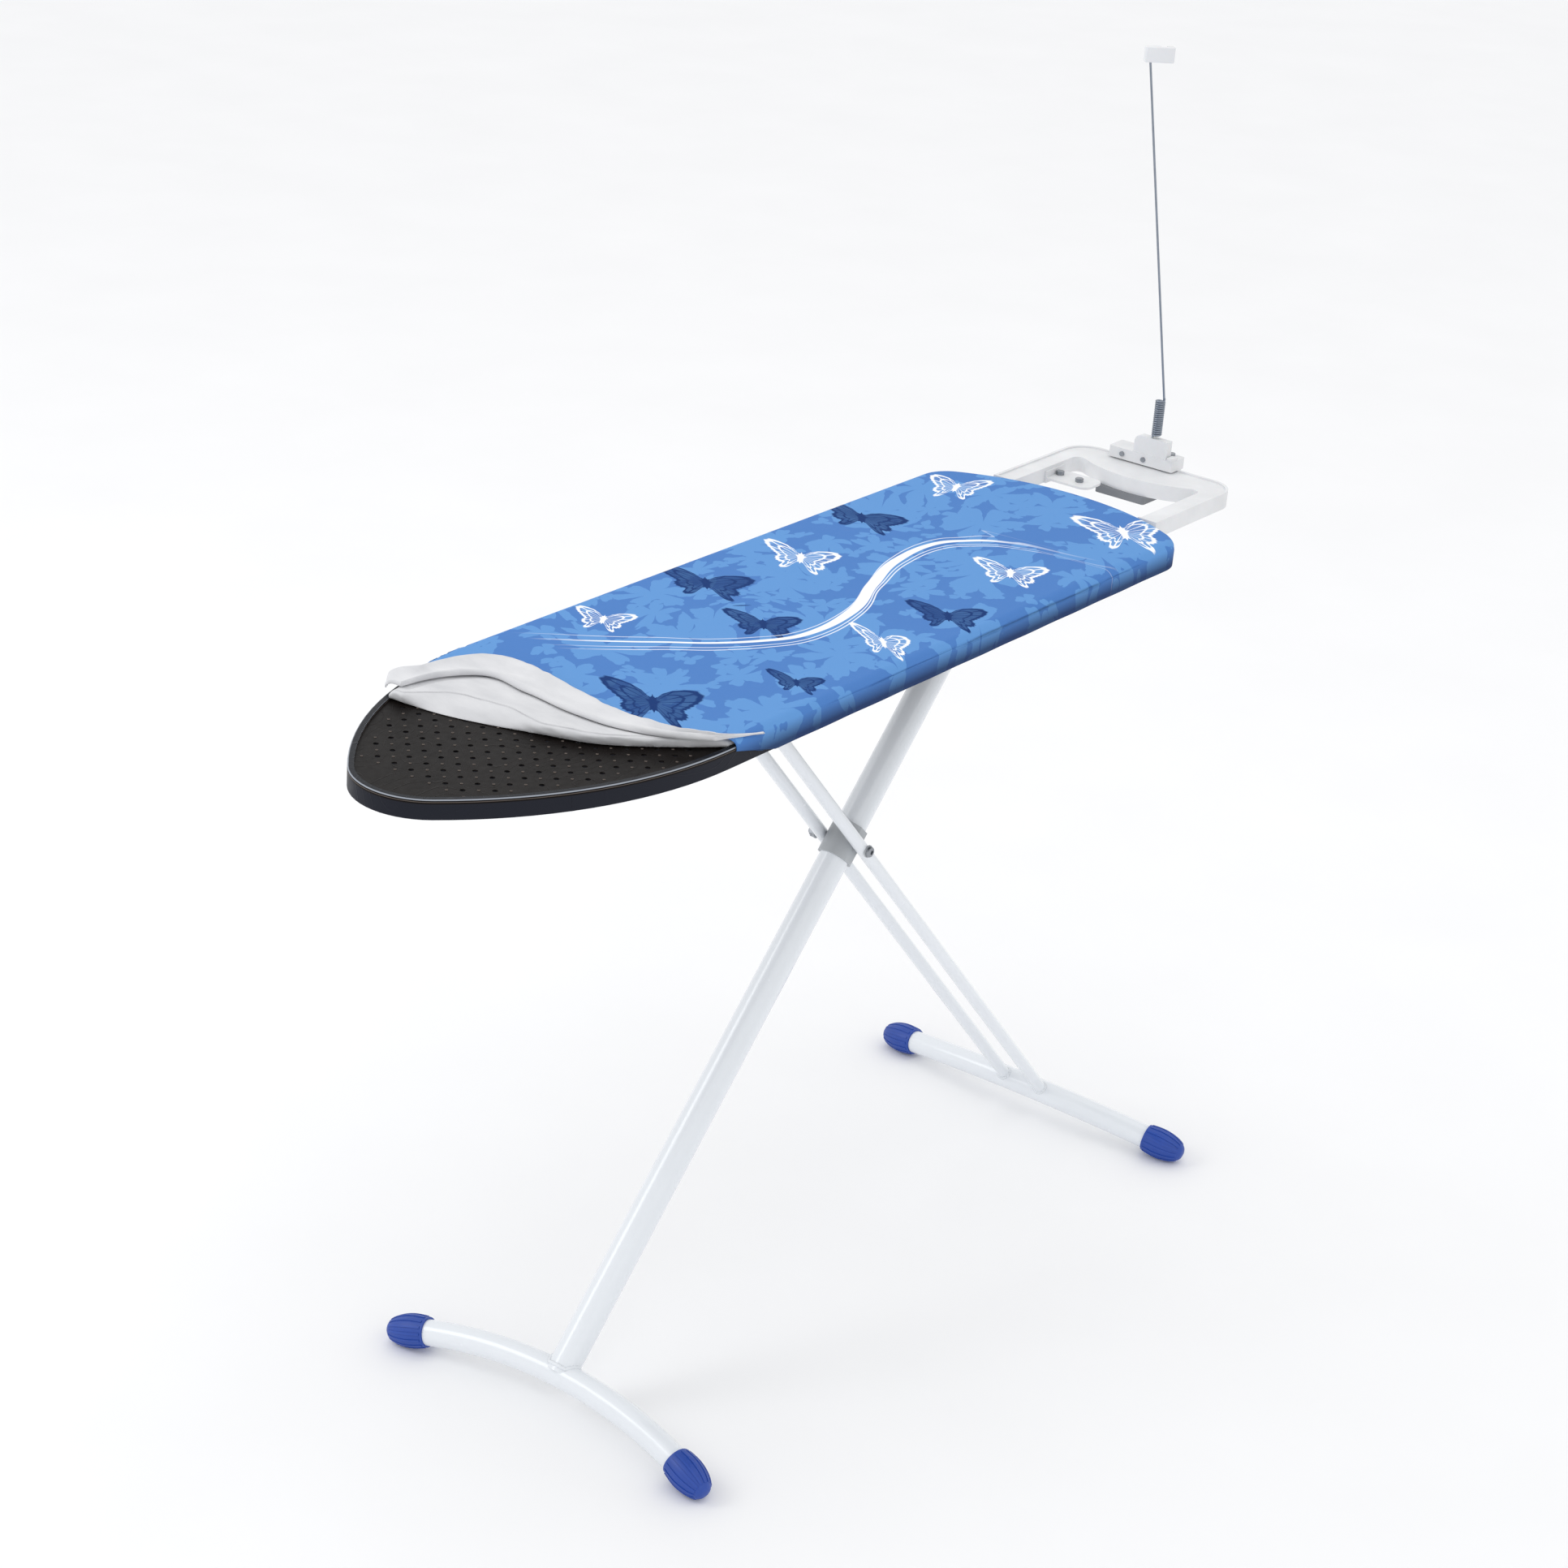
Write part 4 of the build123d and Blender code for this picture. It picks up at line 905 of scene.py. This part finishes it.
@dataclass(frozen=True)
class Peel:
    """Lines across the board where the cover is turned back to show the felt.

    Each tuple holds places along the board at the stations across it.
    """

    stations: Line = (0.165, 0.150, 0.120, 0.045, -0.025, -0.090, -0.150, -0.188)
    contact: Line = (-0.574, -0.573, -0.571, -0.555, -0.531, -0.505, -0.452, -0.412)
    felt_edge: Line = (-0.577, -0.566, -0.545, -0.527, -0.533, -0.511, -0.457, -0.414)
    crease: Line = (-0.566, -0.532, -0.489, -0.482, -0.489, -0.484, -0.457, -0.424)
    free_edge: Line = (-0.498, -0.465, -0.438, -0.440, -0.453, -0.460, -0.450, -0.427)

    def at(self, line: Line, y: Array) -> Array:
        """Read one of the lines at places across the board."""
        return through(self.stations, line, y)


@dataclass
class CoverCloth:
    """The printed cover: a tight skin with a rounded edge, skirt and hem."""

    plan: Plan
    peel: Peel
    material: Material
    rows: int = 150
    columns: int = 330
    outset: float = 0.0018
    edge_round: float = 0.013
    front_slope: float = 0.072
    far_tuck: float = 0.034
    lap: float = 0.012
    sink: float = 0.0012
    crown: float = 0.0006
    unevenness: float = 0.0005
    hem_lift: float = 0.0006
    hem_roll: float = 0.0022
    hem_start: float = 0.003
    thickness: float = 0.0009
    hem_width: float = 0.014
    flat: tuple[float, float] = (0.48, 1.08)
    flat_area: float = 0.488

    def build(self) -> Piece:
        """Make the cover and hand it to the frame."""
        low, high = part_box("cover")
        top, bottom = high[2], low[2] + self.hem_lift
        half = self.plan.half + self.outset
        turn = np.linspace(-math.pi / 2, math.pi / 2, self.rows)
        across = half * np.sin(turn)
        scale = self.plan.half / half
        tucked = self.peel.at(self.peel.crease, across) + self.lap
        tucked += self.far_tuck * np.clip((across - 0.115) / 0.05, 0, 1)
        front = np.maximum(tucked, self.plan.nose_x(across * scale) - self.outset)
        rear = self.plan.tail_x(across * scale) + self.outset
        share = 0.5 - 0.5 * np.cos(np.linspace(0, math.pi, self.columns))
        share = 0.75 * np.linspace(0, 1, self.columns) + 0.25 * share
        x = front[:, None] + (rear - front)[:, None] * share[None, :]
        y = np.repeat(across[:, None], self.columns, axis=1)
        loop = self.rim(front > tucked + 0.0001)
        distance = self.to_outline(x, y, loop)
        drop = self.edge_round - np.sqrt(
            np.maximum(self.edge_round**2 - np.maximum(self.edge_round - distance, 0) ** 2, 0)
        )
        tight = np.clip(distance / 0.03, 0, 1)
        rise = self.unevenness * ripple(x * 0.35, y * 0.4, 1.7) + self.crown
        z = top - self.sink - drop + tight * rise
        points = np.stack([x, y, z], axis=-1).reshape(-1, 3)
        faces = grid_faces(self.rows, self.columns)
        edge = top - self.sink - self.edge_round
        points, faces = self.add_skirt(points, faces, loop, edge, bottom)
        piece = new_piece("cover_cloth", points, faces, self.material)
        apply_modifier(piece, "WELD", merge_threshold=0.00005)
        face_out(piece)
        apply_modifier(piece, "SOLIDIFY", thickness=self.thickness, offset=-1.0)
        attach(piece, "board")
        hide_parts("cover")
        return piece

    def rim(self, on_nose: Array) -> list[int]:
        """Vertex numbers round the outline, from the far front to the near front.

        Args:
            on_nose: Whether each row starts on the nose.

        Returns:
            The vertex numbers.
        """
        last, middle = self.rows - 1, self.rows // 2
        start = [row * self.columns for row in range(middle, last) if on_nose[row]]
        far = [last * self.columns + column for column in range(self.columns)]
        back = [row * self.columns + self.columns - 1 for row in range(last - 1, 0, -1)]
        near = list(range(self.columns - 1, -1, -1))
        end = [row * self.columns for row in range(1, middle) if on_nose[row]]
        return start + far + back + near + end

    def to_outline(self, x: Array, y: Array, loop: list[int]) -> Array:
        """Distance of every vertex from the outline, left out at the front.

        Args:
            x: Places along.
            y: Places across.
            loop: Vertex numbers round the outline.

        Returns:
            The distances.
        """
        flat = np.stack([x, y, np.zeros_like(x)], axis=-1).reshape(-1, 3)
        nose = np.linspace(-self.plan.half, self.plan.half, 400)
        lead = np.column_stack([self.plan.nose_x(nose) - self.outset, nose, np.zeros(400)])
        rim = np.vstack([flat[loop], lead])
        tree = KDTree(len(rim))
        for index, point in enumerate(rim):
            tree.insert(point, index)
        tree.balance()
        found = np.array([tree.find(point)[2] for point in flat])
        return found.reshape(x.shape)

    def add_skirt(
        self, points: Array, faces: list, loop: list[int], high: float, low: float
    ) -> tuple[Array, list]:
        """Hang the skirt and the turned-under hem from the outline.

        Args:
            points: The vertices so far.
            faces: The faces so far.
            loop: Vertex numbers round the outline.
            high: The level of the outline.
            low: The level of the hem.

        Returns:
            All vertices and all faces.
        """
        rim = points[loop][:, :2]
        ahead, behind = np.roll(rim, -1, axis=0), np.roll(rim, 1, axis=0)
        ahead[-1], behind[0] = rim[-1], rim[0]
        run = ahead - behind
        length = np.linalg.norm(run, axis=1)
        length[length == 0] = 1
        out = np.stack([-run[:, 1], run[:, 0]], axis=1) / length[:, None]
        middle = np.array([rim[:, 0].mean(), 0.0])
        flip = np.sign(((rim - middle) * out).sum(axis=1))
        out *= np.where(flip == 0, 1, flip)[:, None]
        far = rim[:, 1] > 0
        ahead_end = np.where(far, rim[far, 0].min(), rim[rim[:, 1] < 0, 0].min())
        lifted = np.clip(1 - (rim[:, 0] - ahead_end) / self.front_slope, 0, 1)
        bottom = low + lifted * (high - low) * 0.94
        wave = 0.0003 * np.sin(np.cumsum(length) * 31.0)
        levels = []
        for step in (0.25, 0.5, 0.75, 0.93):
            levels.append((high + (bottom - high) * step, wave * step))
        levels.append((bottom, wave - self.hem_roll * (1 - lifted)))
        for share in (0.4, 0.8, 1.0):
            tuck = (self.hem_start + self.hem_width * share) * np.clip(1 - 3 * lifted, 0, 1)
            levels.append((bottom + 0.0003 * share, wave - 0.0010 - tuck))
        count = len(loop)
        previous = list(loop)
        for level, offset in levels:
            aside = out * np.broadcast_to(offset, count)[:, None]
            ring = np.column_stack([rim + aside, np.broadcast_to(level, count)])
            start = len(points)
            points = np.vstack([points, ring])
            current = list(range(start, start + count))
            for index in range(count - 1):
                after = index + 1
                faces.append((previous[index], current[index], current[after], previous[after]))
            previous = current
        return points, faces


@dataclass
class FeltPad:
    """White felt under the cover, its front edge puffed where the cover is off."""

    plan: Plan
    peel: Peel
    material: Material
    rows: int = 220
    inset: float = 0.0078
    set_back: float = 0.004
    bulge: float = 0.0062
    swell: float = 0.0016
    held_down: float = 0.0014
    seat: float = 0.0032
    bare_to: float = 0.006
    bare_fade: float = 0.014
    puff_up: float = 0.0011
    puff_along: float = 0.0022

    def build(self) -> Piece:
        """Make the pad and hand it to the frame."""
        low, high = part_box("felt_pad")
        share = np.sin(np.linspace(-math.pi / 2, math.pi / 2, self.rows) * 0.985)
        across = share * self.plan.half
        contact = self.peel.at(self.peel.contact, across)
        edge = self.peel.at(self.peel.felt_edge, across)
        rear = self.plan.tail_x(across * 0.96) - self.inset - self.set_back
        base, top = low[2] - self.seat, high[2]
        section = []
        for step in np.linspace(0, 1, 14):
            place = rear + (contact + self.set_back - rear) * step
            section.append((place, np.full(self.rows, base)))
        for angle in np.linspace(-90, 90, 22):
            a = math.radians(angle)
            middle = contact + (edge - contact) * (0.5 + 0.5 * math.sin(a))
            forward = self.bulge * math.cos(a) ** 0.8
            height = (base + top) / 2 + (top - base) / 2 * math.sin(a)
            section.append((middle + self.set_back - forward, np.full(self.rows, height)))
        for step in np.linspace(0.01, 1, 60) ** 1.9:
            swell = self.swell * math.exp(-((step - 0.02) ** 2) / 0.0018)
            place = edge + self.set_back + (rear - edge - self.set_back) * step
            section.append((place, np.full(self.rows, top + swell)))
        x = np.array([item[0] for item in section])
        z = np.array([item[1] for item in section])
        width = self.plan.half_at(x) - self.inset
        y = share[None, :] * width
        crease = self.peel.at(self.peel.crease, across)
        bare = np.clip((crease[None, :] + self.bare_to - x) / self.bare_fade, 0, 1)
        near_front = np.clip(1 - (x - edge[None, :]) / 0.07, 0, 1) * bare
        upper = np.clip((z - base) / (top - base), 0, 1)
        z = np.minimum(z, top) + np.maximum(z - top, 0) * bare
        z = z - self.held_down * (1 - bare) * upper
        z = z + near_front * upper * self.puff_up * ripple(x * 0.9, y * 1.3, 0.4)
        x = x + near_front * upper * self.puff_along * ripple(z * 3.0, y * 1.1, 2.9)
        side = np.clip((np.abs(share)[None, :] - 0.93) / 0.07, 0, 1)
        z = z - side**2 * np.clip(z - base, 0, None) * 0.45
        points = np.stack([x, y, z], axis=-1).reshape(-1, 3)
        faces = grid_faces(len(section), self.rows)
        count = len(section)
        for column in (0, self.rows - 1):
            ring = [row * self.rows + column for row in range(count)]
            for step in range(count // 2 - 1):
                pair = (ring[step], ring[step + 1], ring[count - 2 - step], ring[count - 1 - step])
                faces.append(pair if column else tuple(reversed(pair)))
        for column in range(self.rows - 1):
            start = (count - 1) * self.rows + column
            faces.append((start, start + 1, column + 1, column))
        piece = new_piece("felt_pad_soft", points, faces, self.material)
        face_out(piece)
        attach(piece, "board")
        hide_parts("felt_pad")
        return piece


@dataclass
class TurnedBackFront:
    """The front of the cover, turned back on itself with its white side out."""

    plan: Plan
    peel: Peel
    material: Material
    rows: int = 240
    roll: float = 0.0036
    under_lap: float = 0.018
    sink: float = 0.0012
    overhang: float = 0.0030
    crumple_up: float = 0.0010
    crumple_along: float = 0.0014
    tail_back: float = 0.006
    tail_lift: float = 0.0010
    thickness: float = 0.0015
    side_round: float = 0.0105
    tip_from: float = 0.70
    tail_from: float = 0.930
    tail_length: float = 0.040
    tail_fall: float = 0.006
    flat: tuple[float, float] = (0.39, 0.10)
    flat_area: float = 0.0252

    def build(self) -> Piece:
        """Make the fold and hand it to the frame."""
        low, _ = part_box("cover_flap")
        base = low[2] - self.sink
        share = np.sin(np.linspace(-math.pi / 2, math.pi / 2, self.rows))
        across = share * self.plan.half
        crease = self.peel.at(self.peel.crease, across)
        edge = self.peel.at(self.peel.free_edge, across)
        plump = 1.0 + 0.25 * ripple(across * 0.2, across * 0.55, 4.4)
        section = []
        for step in np.linspace(0, 1, 5):
            place = crease + self.under_lap * (1 - step) + self.roll
            section.append((place, np.full(self.rows, base)))
        for angle in np.linspace(-80, 90, 18):
            a = math.radians(angle)
            size = self.roll * plump
            place = crease + self.roll - size * math.cos(a)
            section.append((place, base + size * (1 + math.sin(a))))
        crest = base + 2 * self.roll * plump
        for step in np.linspace(0.04, 1, 30):
            settle = -0.0030 * math.sin(step * math.pi) + 0.0024 * step**2
            place = crease + self.roll + (edge - crease - self.roll) * step
            section.append((place, crest + settle))
        x = np.array([item[0] for item in section])
        z = np.array([item[1] for item in section])
        width = self.plan.half_at(x) + self.overhang
        y = share[None, :] * width
        free = np.linspace(0, 1, len(section))[:, None] ** 1.5
        crumple = ripple(x * 0.8, y * 1.6, 3.3) * 0.8 + ripple(y * 2.3, x * 1.5, 0.9) * 0.5
        z = z + free * self.crumple_up * crumple
        x = x + free * self.crumple_along * ripple(y * 1.9, z * 2.0, 5.1)
        inward = (1 - np.abs(share))[None, :] * width
        short = self.side_round - np.clip(inward, 0, self.side_round)
        z = z - (self.side_round - np.sqrt(self.side_round**2 - short**2))
        tail = np.clip((-share - self.tail_from) / (1 - self.tail_from), 0, 1)[None, :]
        narrow = tail**0.7
        x = x + (x[0][None, :] - self.tail_back - x) * narrow + self.tail_length * tail**1.6
        z = z + (base + self.tail_lift - z) * narrow * 0.9 - self.tail_fall * tail**1.4
        tip = np.clip((share - self.tip_from) / (1 - self.tip_from), 0, 1)[None, :] ** 1.6
        x = x - (x - crease[None, :]) * 0.7 * tip
        z = z - (z - base) * 0.35 * tip
        points = np.stack([x, y, z], axis=-1).reshape(-1, 3)
        faces = grid_faces(len(section), self.rows)
        piece = new_piece("cover_turned_back", points, faces, self.material)
        face_out(piece)
        apply_modifier(piece, "SOLIDIFY", thickness=self.thickness, offset=-1.0)
        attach(piece, "board")
        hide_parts("cover_flap")
        return piece


@dataclass
class CordArm:
    """The coil that lets the cord-holder arm bend."""

    steel: Material
    wire: float = 0.0015
    mean: float = 0.0055
    turns: float = 16.5
    stub: float = 0.0045

    def build(self) -> Piece:
        """Make the coil, rising from the clamp's post to the rod."""
        low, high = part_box("arm_coil")
        rod_low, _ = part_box("arm_rod")
        x = (low[0] + high[0]) / 2
        start_z, end_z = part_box("clamp_body")[1][2] + self.stub, rod_low[2]
        first = math.pi / 2
        angle = np.linspace(first, first + self.turns * 2 * math.pi, int(self.turns * 32))
        rise = np.linspace(start_z, end_z, len(angle))
        coil = np.stack([x + self.mean * np.cos(angle), self.mean * np.sin(angle), rise], axis=-1)
        below = np.linspace(low[2] + MM, start_z - MM, 6)
        above = np.linspace(end_z + 0.8 * MM, end_z + 4 * MM, 4)
        foot = np.array([[x, self.mean, z] for z in below])
        tip = np.array([[x, -self.mean, z] for z in above])
        path = np.vstack([foot, coil, tip])
        piece = wire_piece("arm_coil_wire", path, self.wire, self.steel)
        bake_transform(piece)
        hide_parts("arm_coil")
        return piece


@dataclass
class LeverSpring:
    """Torsion spring on the height lever's pin."""

    steel: Material
    wire: float = 0.0008
    turns: float = 6.5

    def build(self) -> Piece:
        """Make the spring in the space its stand-in takes."""
        (low, high), (pin_low, pin_high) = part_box("lever_spring"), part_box("lever_pin")
        y, z = (pin_low[1] + pin_high[1]) / 2, (pin_low[2] + pin_high[2]) / 2
        mean = max(min(high[2] - z, z - low[2], high[1] - y) - self.wire, 0.003)
        angle = np.linspace(0, self.turns * 2 * math.pi, int(self.turns * 28))
        span = np.linspace(low[0] + self.wire * 2, high[0] - self.wire * 2, len(angle))
        coil = np.stack([span, y + mean * np.cos(angle), z + mean * np.sin(angle)], axis=-1)
        reach = np.linspace(MM, mean * 0.9, 5)
        lead = np.array([[coil[0][0], coil[0][1], z - step] for step in reach[::-1]])
        trail = np.array([[coil[-1][0], coil[-1][1], z + step] for step in reach])
        path = np.vstack([lead, coil, trail])
        piece = wire_piece("lever_spring_wire", path, self.wire, self.steel, 8)
        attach(piece, str(bpy.data.objects["lever_spring"]["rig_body"]))
        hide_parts("lever_spring")
        return piece


@dataclass
class DeckStuds:
    """Small raised studs between the holes of the uncovered nose."""

    plan: Plan
    material: Material
    pitch_x: float = 0.0224
    pitch_y: float = 0.0235
    first: float = 0.0465
    radius: float = 0.0017
    height: float = 0.0008
    columns: int = 12
    rows_aside: int = 8
    edge_room: float = 0.016
    sides: int = 12

    def build(self) -> Piece:
        """Make every stud as one piece."""
        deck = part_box("board_shell")[1][2] - DECK_DROP
        points, faces = [], []
        for column in range(self.columns):
            x = self.plan.front_x + self.first + self.pitch_x * (column + 0.5)
            room = float(self.plan.half_at(np.array(x))) - self.edge_room
            for row in range(-self.rows_aside, self.rows_aside + 1):
                y = row * self.pitch_y
                if abs(y) < room:
                    self.stud(points, faces, x, y, deck)
        piece = new_piece("deck_studs", np.array(points), faces, self.material)
        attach(piece, "board")
        return piece

    def stud(self, points: list, faces: list, x: float, y: float, z: float) -> None:
        """Add one domed stud to the lists.

        Args:
            points: The vertices so far.
            faces: The faces so far.
            x: Its place along the board.
            y: Its place across.
            z: The level it stands on.
        """
        start, sides = len(points), self.sides
        for lift, size in ((-0.0004, 1.0), (0.45, 0.88), (0.85, 0.5)):
            level = z + (lift if lift < 0 else lift * self.height)
            for side in range(sides):
                a, reach = side / sides * 2 * math.pi, size * self.radius
                points.append((x + math.cos(a) * reach, y + math.sin(a) * reach, level))
        points.append((x, y, z + self.height))
        for ring in range(2):
            for side in range(sides):
                a, b = start + ring * sides + side, start + ring * sides + (side + 1) % sides
                faces.append((a, b, b + sides, a + sides))
        for side in range(sides):
            a = start + 2 * sides + side
            faces.append((a, start + 2 * sides + (side + 1) % sides, start + 3 * sides))
        faces.append(tuple(start + side for side in reversed(range(sides))))


@dataclass
class WeldBeads:
    """Painted weld beads where a leg's tubes meet its foot bar."""

    enamel: Material
    bead: float = 0.0024
    front_tube: float = 0.019
    rear_tube: float = 0.00815
    rear_aside: float = 0.0304
    foot_radius: float = 0.016

    def build(self) -> list[Piece]:
        """Make the beads of both legs."""
        made = []
        pivot = self.centre("pivot_bolt")
        for name, top, aside, size in (
            ("front", "hinge_pin", (0.0,), self.front_tube),
            ("rear", "cross_rod", (-self.rear_aside, self.rear_aside), self.rear_tube),
        ):
            run = (self.centre(top) - pivot).normalized()
            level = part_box(f"{name}_foot_tube")[1][2] - self.foot_radius
            seat = pivot + run * ((level - pivot[2]) / run[2])
            out = Vector((run[2], 0, -run[0]))
            for index, y in enumerate(aside):
                path = self.ring(seat, run, out, y, size)
                piece = wire_piece(f"{name}_weld_{index + 1}", path, self.bead, self.enamel, 8)
                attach(piece, f"{name}_leg")
                made.append(piece)
        return made

    def centre(self, node: str) -> Vector:
        """The middle of a node's box, on the board's centre plane."""
        low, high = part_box(node)
        return Vector(((low[0] + high[0]) / 2, 0, (low[2] + high[2]) / 2))

    def ring(self, seat: Vector, run: Vector, out: Vector, y: float, size: float) -> Array:
        """The line round one tube where it meets the bar.

        Args:
            seat: Where the leg's axis meets the bar's.
            run: The leg's own direction.
            out: The direction across it, in the upright plane along the board.
            y: How far the tube stands aside.
            size: The tube's radius.

        Returns:
            Points along the line.
        """
        path, radius = [], self.foot_radius
        for angle in np.linspace(0, 2 * math.pi * 1.02, 74):
            aside = size * math.sin(angle)
            lift = math.sqrt(max(radius**2 - aside**2, (radius * 0.45) ** 2))
            wobble = 0.0004 * math.sin(angle * 23)
            point = seat + out * aside + run * (lift + wobble)
            path.append((point[0], y + size * math.cos(angle), point[2]))
        return np.array(path)


# -------------------------------------------------------------------- studio
@dataclass
class Studio:
    """Pale floor, soft light and the camera."""

    location: tuple[float, float, float] = (-2.9673, -2.0712, 2.2764)
    forward: tuple[float, float, float] = (0.7454, 0.5303, -0.4039)
    right: tuple[float, float, float] = (0.6031, -0.7946, 0.0697)
    lens: float = 75.63
    floor_half: float = 14.0
    floor_gap: float = 0.0004

    def build(self) -> None:
        """Add the floor, the lights and the camera."""
        self.floor()
        self.world()
        self.lamp("overhead", (0.2, 0.0, 4.2), 3.6, 12.0)
        self.lamp("key", (-2.6, 2.6, 3.0), 1.6, 26.0)
        self.lamp("fill", (-1.6, -3.4, 1.6), 2.6, 5.0)
        self.camera()

    def floor(self) -> None:
        """A plain pale floor."""
        graph = Graph("studio_floor")
        graph.colour(graph.mix(graph.noise(3.0, 3.0), rgba(244, 244, 245), rgba(249, 249, 250)))
        graph.roughness(0.85)
        size = self.floor_half
        corners = np.array([(-size, -size, 0), (size, -size, 0), (size, size, 0), (-size, size, 0)])
        piece = new_piece("floor", corners, [(0, 1, 2, 3)], graph.material, smooth=False)
        piece.location.z = -self.floor_gap

    def world(self) -> None:
        """Even white light from all round."""
        world = bpy.data.worlds.new("studio_world")
        world.use_nodes = True
        background = world.node_tree.nodes["Background"]
        background.inputs["Color"].default_value = (0.99, 0.995, 1.0, 1.0)
        background.inputs["Strength"].default_value = 1.0
        bpy.context.scene.world = world
        bpy.context.scene.view_settings.view_transform = "Standard"

    def lamp(self, name: str, place: tuple[float, float, float], size: float, power: float) -> None:
        """One soft square light aimed at the board.

        Args:
            name: Its name.
            place: Where it hangs.
            size: The length of its side.
            power: Its power in watts.
        """
        light = bpy.data.lights.new(name, "AREA")
        light.shape, light.size, light.energy = "SQUARE", size, power
        made = bpy.data.objects.new(name, light)
        made.location = place
        aim = Vector((0.0, 0.0, 0.7)) - Vector(place)
        made.rotation_euler = aim.to_track_quat("-Z", "Y").to_euler()
        bpy.context.scene.collection.objects.link(made)

    def camera(self) -> None:
        """The camera, at the angle the object is known from."""
        data = bpy.data.cameras.new("camera")
        data.lens, data.sensor_width = self.lens, 36.0
        data.clip_end = 60.0
        made = bpy.data.objects.new("camera", data)
        forward = Vector(self.forward).normalized()
        right = Vector(self.right)
        right = (right - forward * right.dot(forward)).normalized()
        up = right.cross(forward)
        turn = Matrix((right, up, -forward)).transposed()
        made.matrix_world = Matrix.Translation(self.location) @ turn.to_4x4()
        bpy.context.scene.collection.objects.link(made)
        bpy.context.scene.camera = made


def face_out(piece: Piece) -> None:
    """Turn a piece's faces to point outwards, its highest face up."""
    work = bmesh.new()
    work.from_mesh(piece.data)
    bmesh.ops.recalc_face_normals(work, faces=work.faces)
    top = max(work.faces, key=lambda face: face.calc_center_median().z)
    if top.normal.z < 0:
        bmesh.ops.reverse_faces(work, faces=work.faces)
    work.to_mesh(piece.data)
    work.free()


def finishes() -> dict[str, Material]:
    """Every finish, by the record's slot."""
    makers = {
        "black_board": TrayBlack(),
        "white_felt": Felt("white_felt"),
        "printed_cotton": PrintedCotton(),
        # cotton_back's second colour is painted shade in its folds.
        "cotton_back": Felt("cotton_back", (228, 228, 230), (190, 191, 195), 0.0010),
        "zinc_steel": PlatedSteel("zinc_steel", (168, 172, 178), 0.28),
        "spring_steel": PlatedSteel("spring_steel", (150, 158, 170), 0.2),
        "pale_plastic": Moulding("pale_plastic", (238, 239, 241), 0.52, subsurface=0.03),
        "grey_plastic": Moulding("grey_plastic", (128, 131, 136), 0.42),
        "collar_plastic": Moulding("collar_plastic", (186, 190, 194), 0.5),
        "white_enamel": Enamel(),
        "blue_plastic": Moulding("blue_plastic", (28, 72, 168), 0.55, grain=0.0001),
    }
    return {slot: maker.make() for slot, maker in makers.items()}


def main() -> None:
    """Load the frame, dress it, and build the soft and fine pieces."""
    logging.basicConfig(level=logging.INFO, format="%(name)s: %(message)s")
    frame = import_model()
    finish = finishes()
    for entry in frame["record"]["subparts"]:
        mesh = frame["nodes"][entry["node"]].data
        mesh.materials.clear()
        mesh.materials.append(finish[entry["material_slot"]])
        LOG.info("dressed %s in %s", entry["node"], entry["material_slot"])
    plan, peel = Plan(), Peel()
    builders: list[tuple[str, Callable[[], object]]] = [
        ("cover cloth", CoverCloth(plan, peel, finish["printed_cotton"]).build),
        ("felt pad", FeltPad(plan, peel, finish["white_felt"]).build),
        ("turned-back front", TurnedBackFront(plan, peel, finish["cotton_back"]).build),
        ("cord arm", CordArm(finish["spring_steel"]).build),
        ("lever spring", LeverSpring(finish["spring_steel"]).build),
        ("deck studs", DeckStuds(plan, finish["black_board"]).build),
        ("weld beads", WeldBeads(finish["white_enamel"]).build),
    ]
    for label, build in builders:
        build()
        LOG.info("built the %s", label)
    Studio().build()


if __name__ == "__main__":
    main()
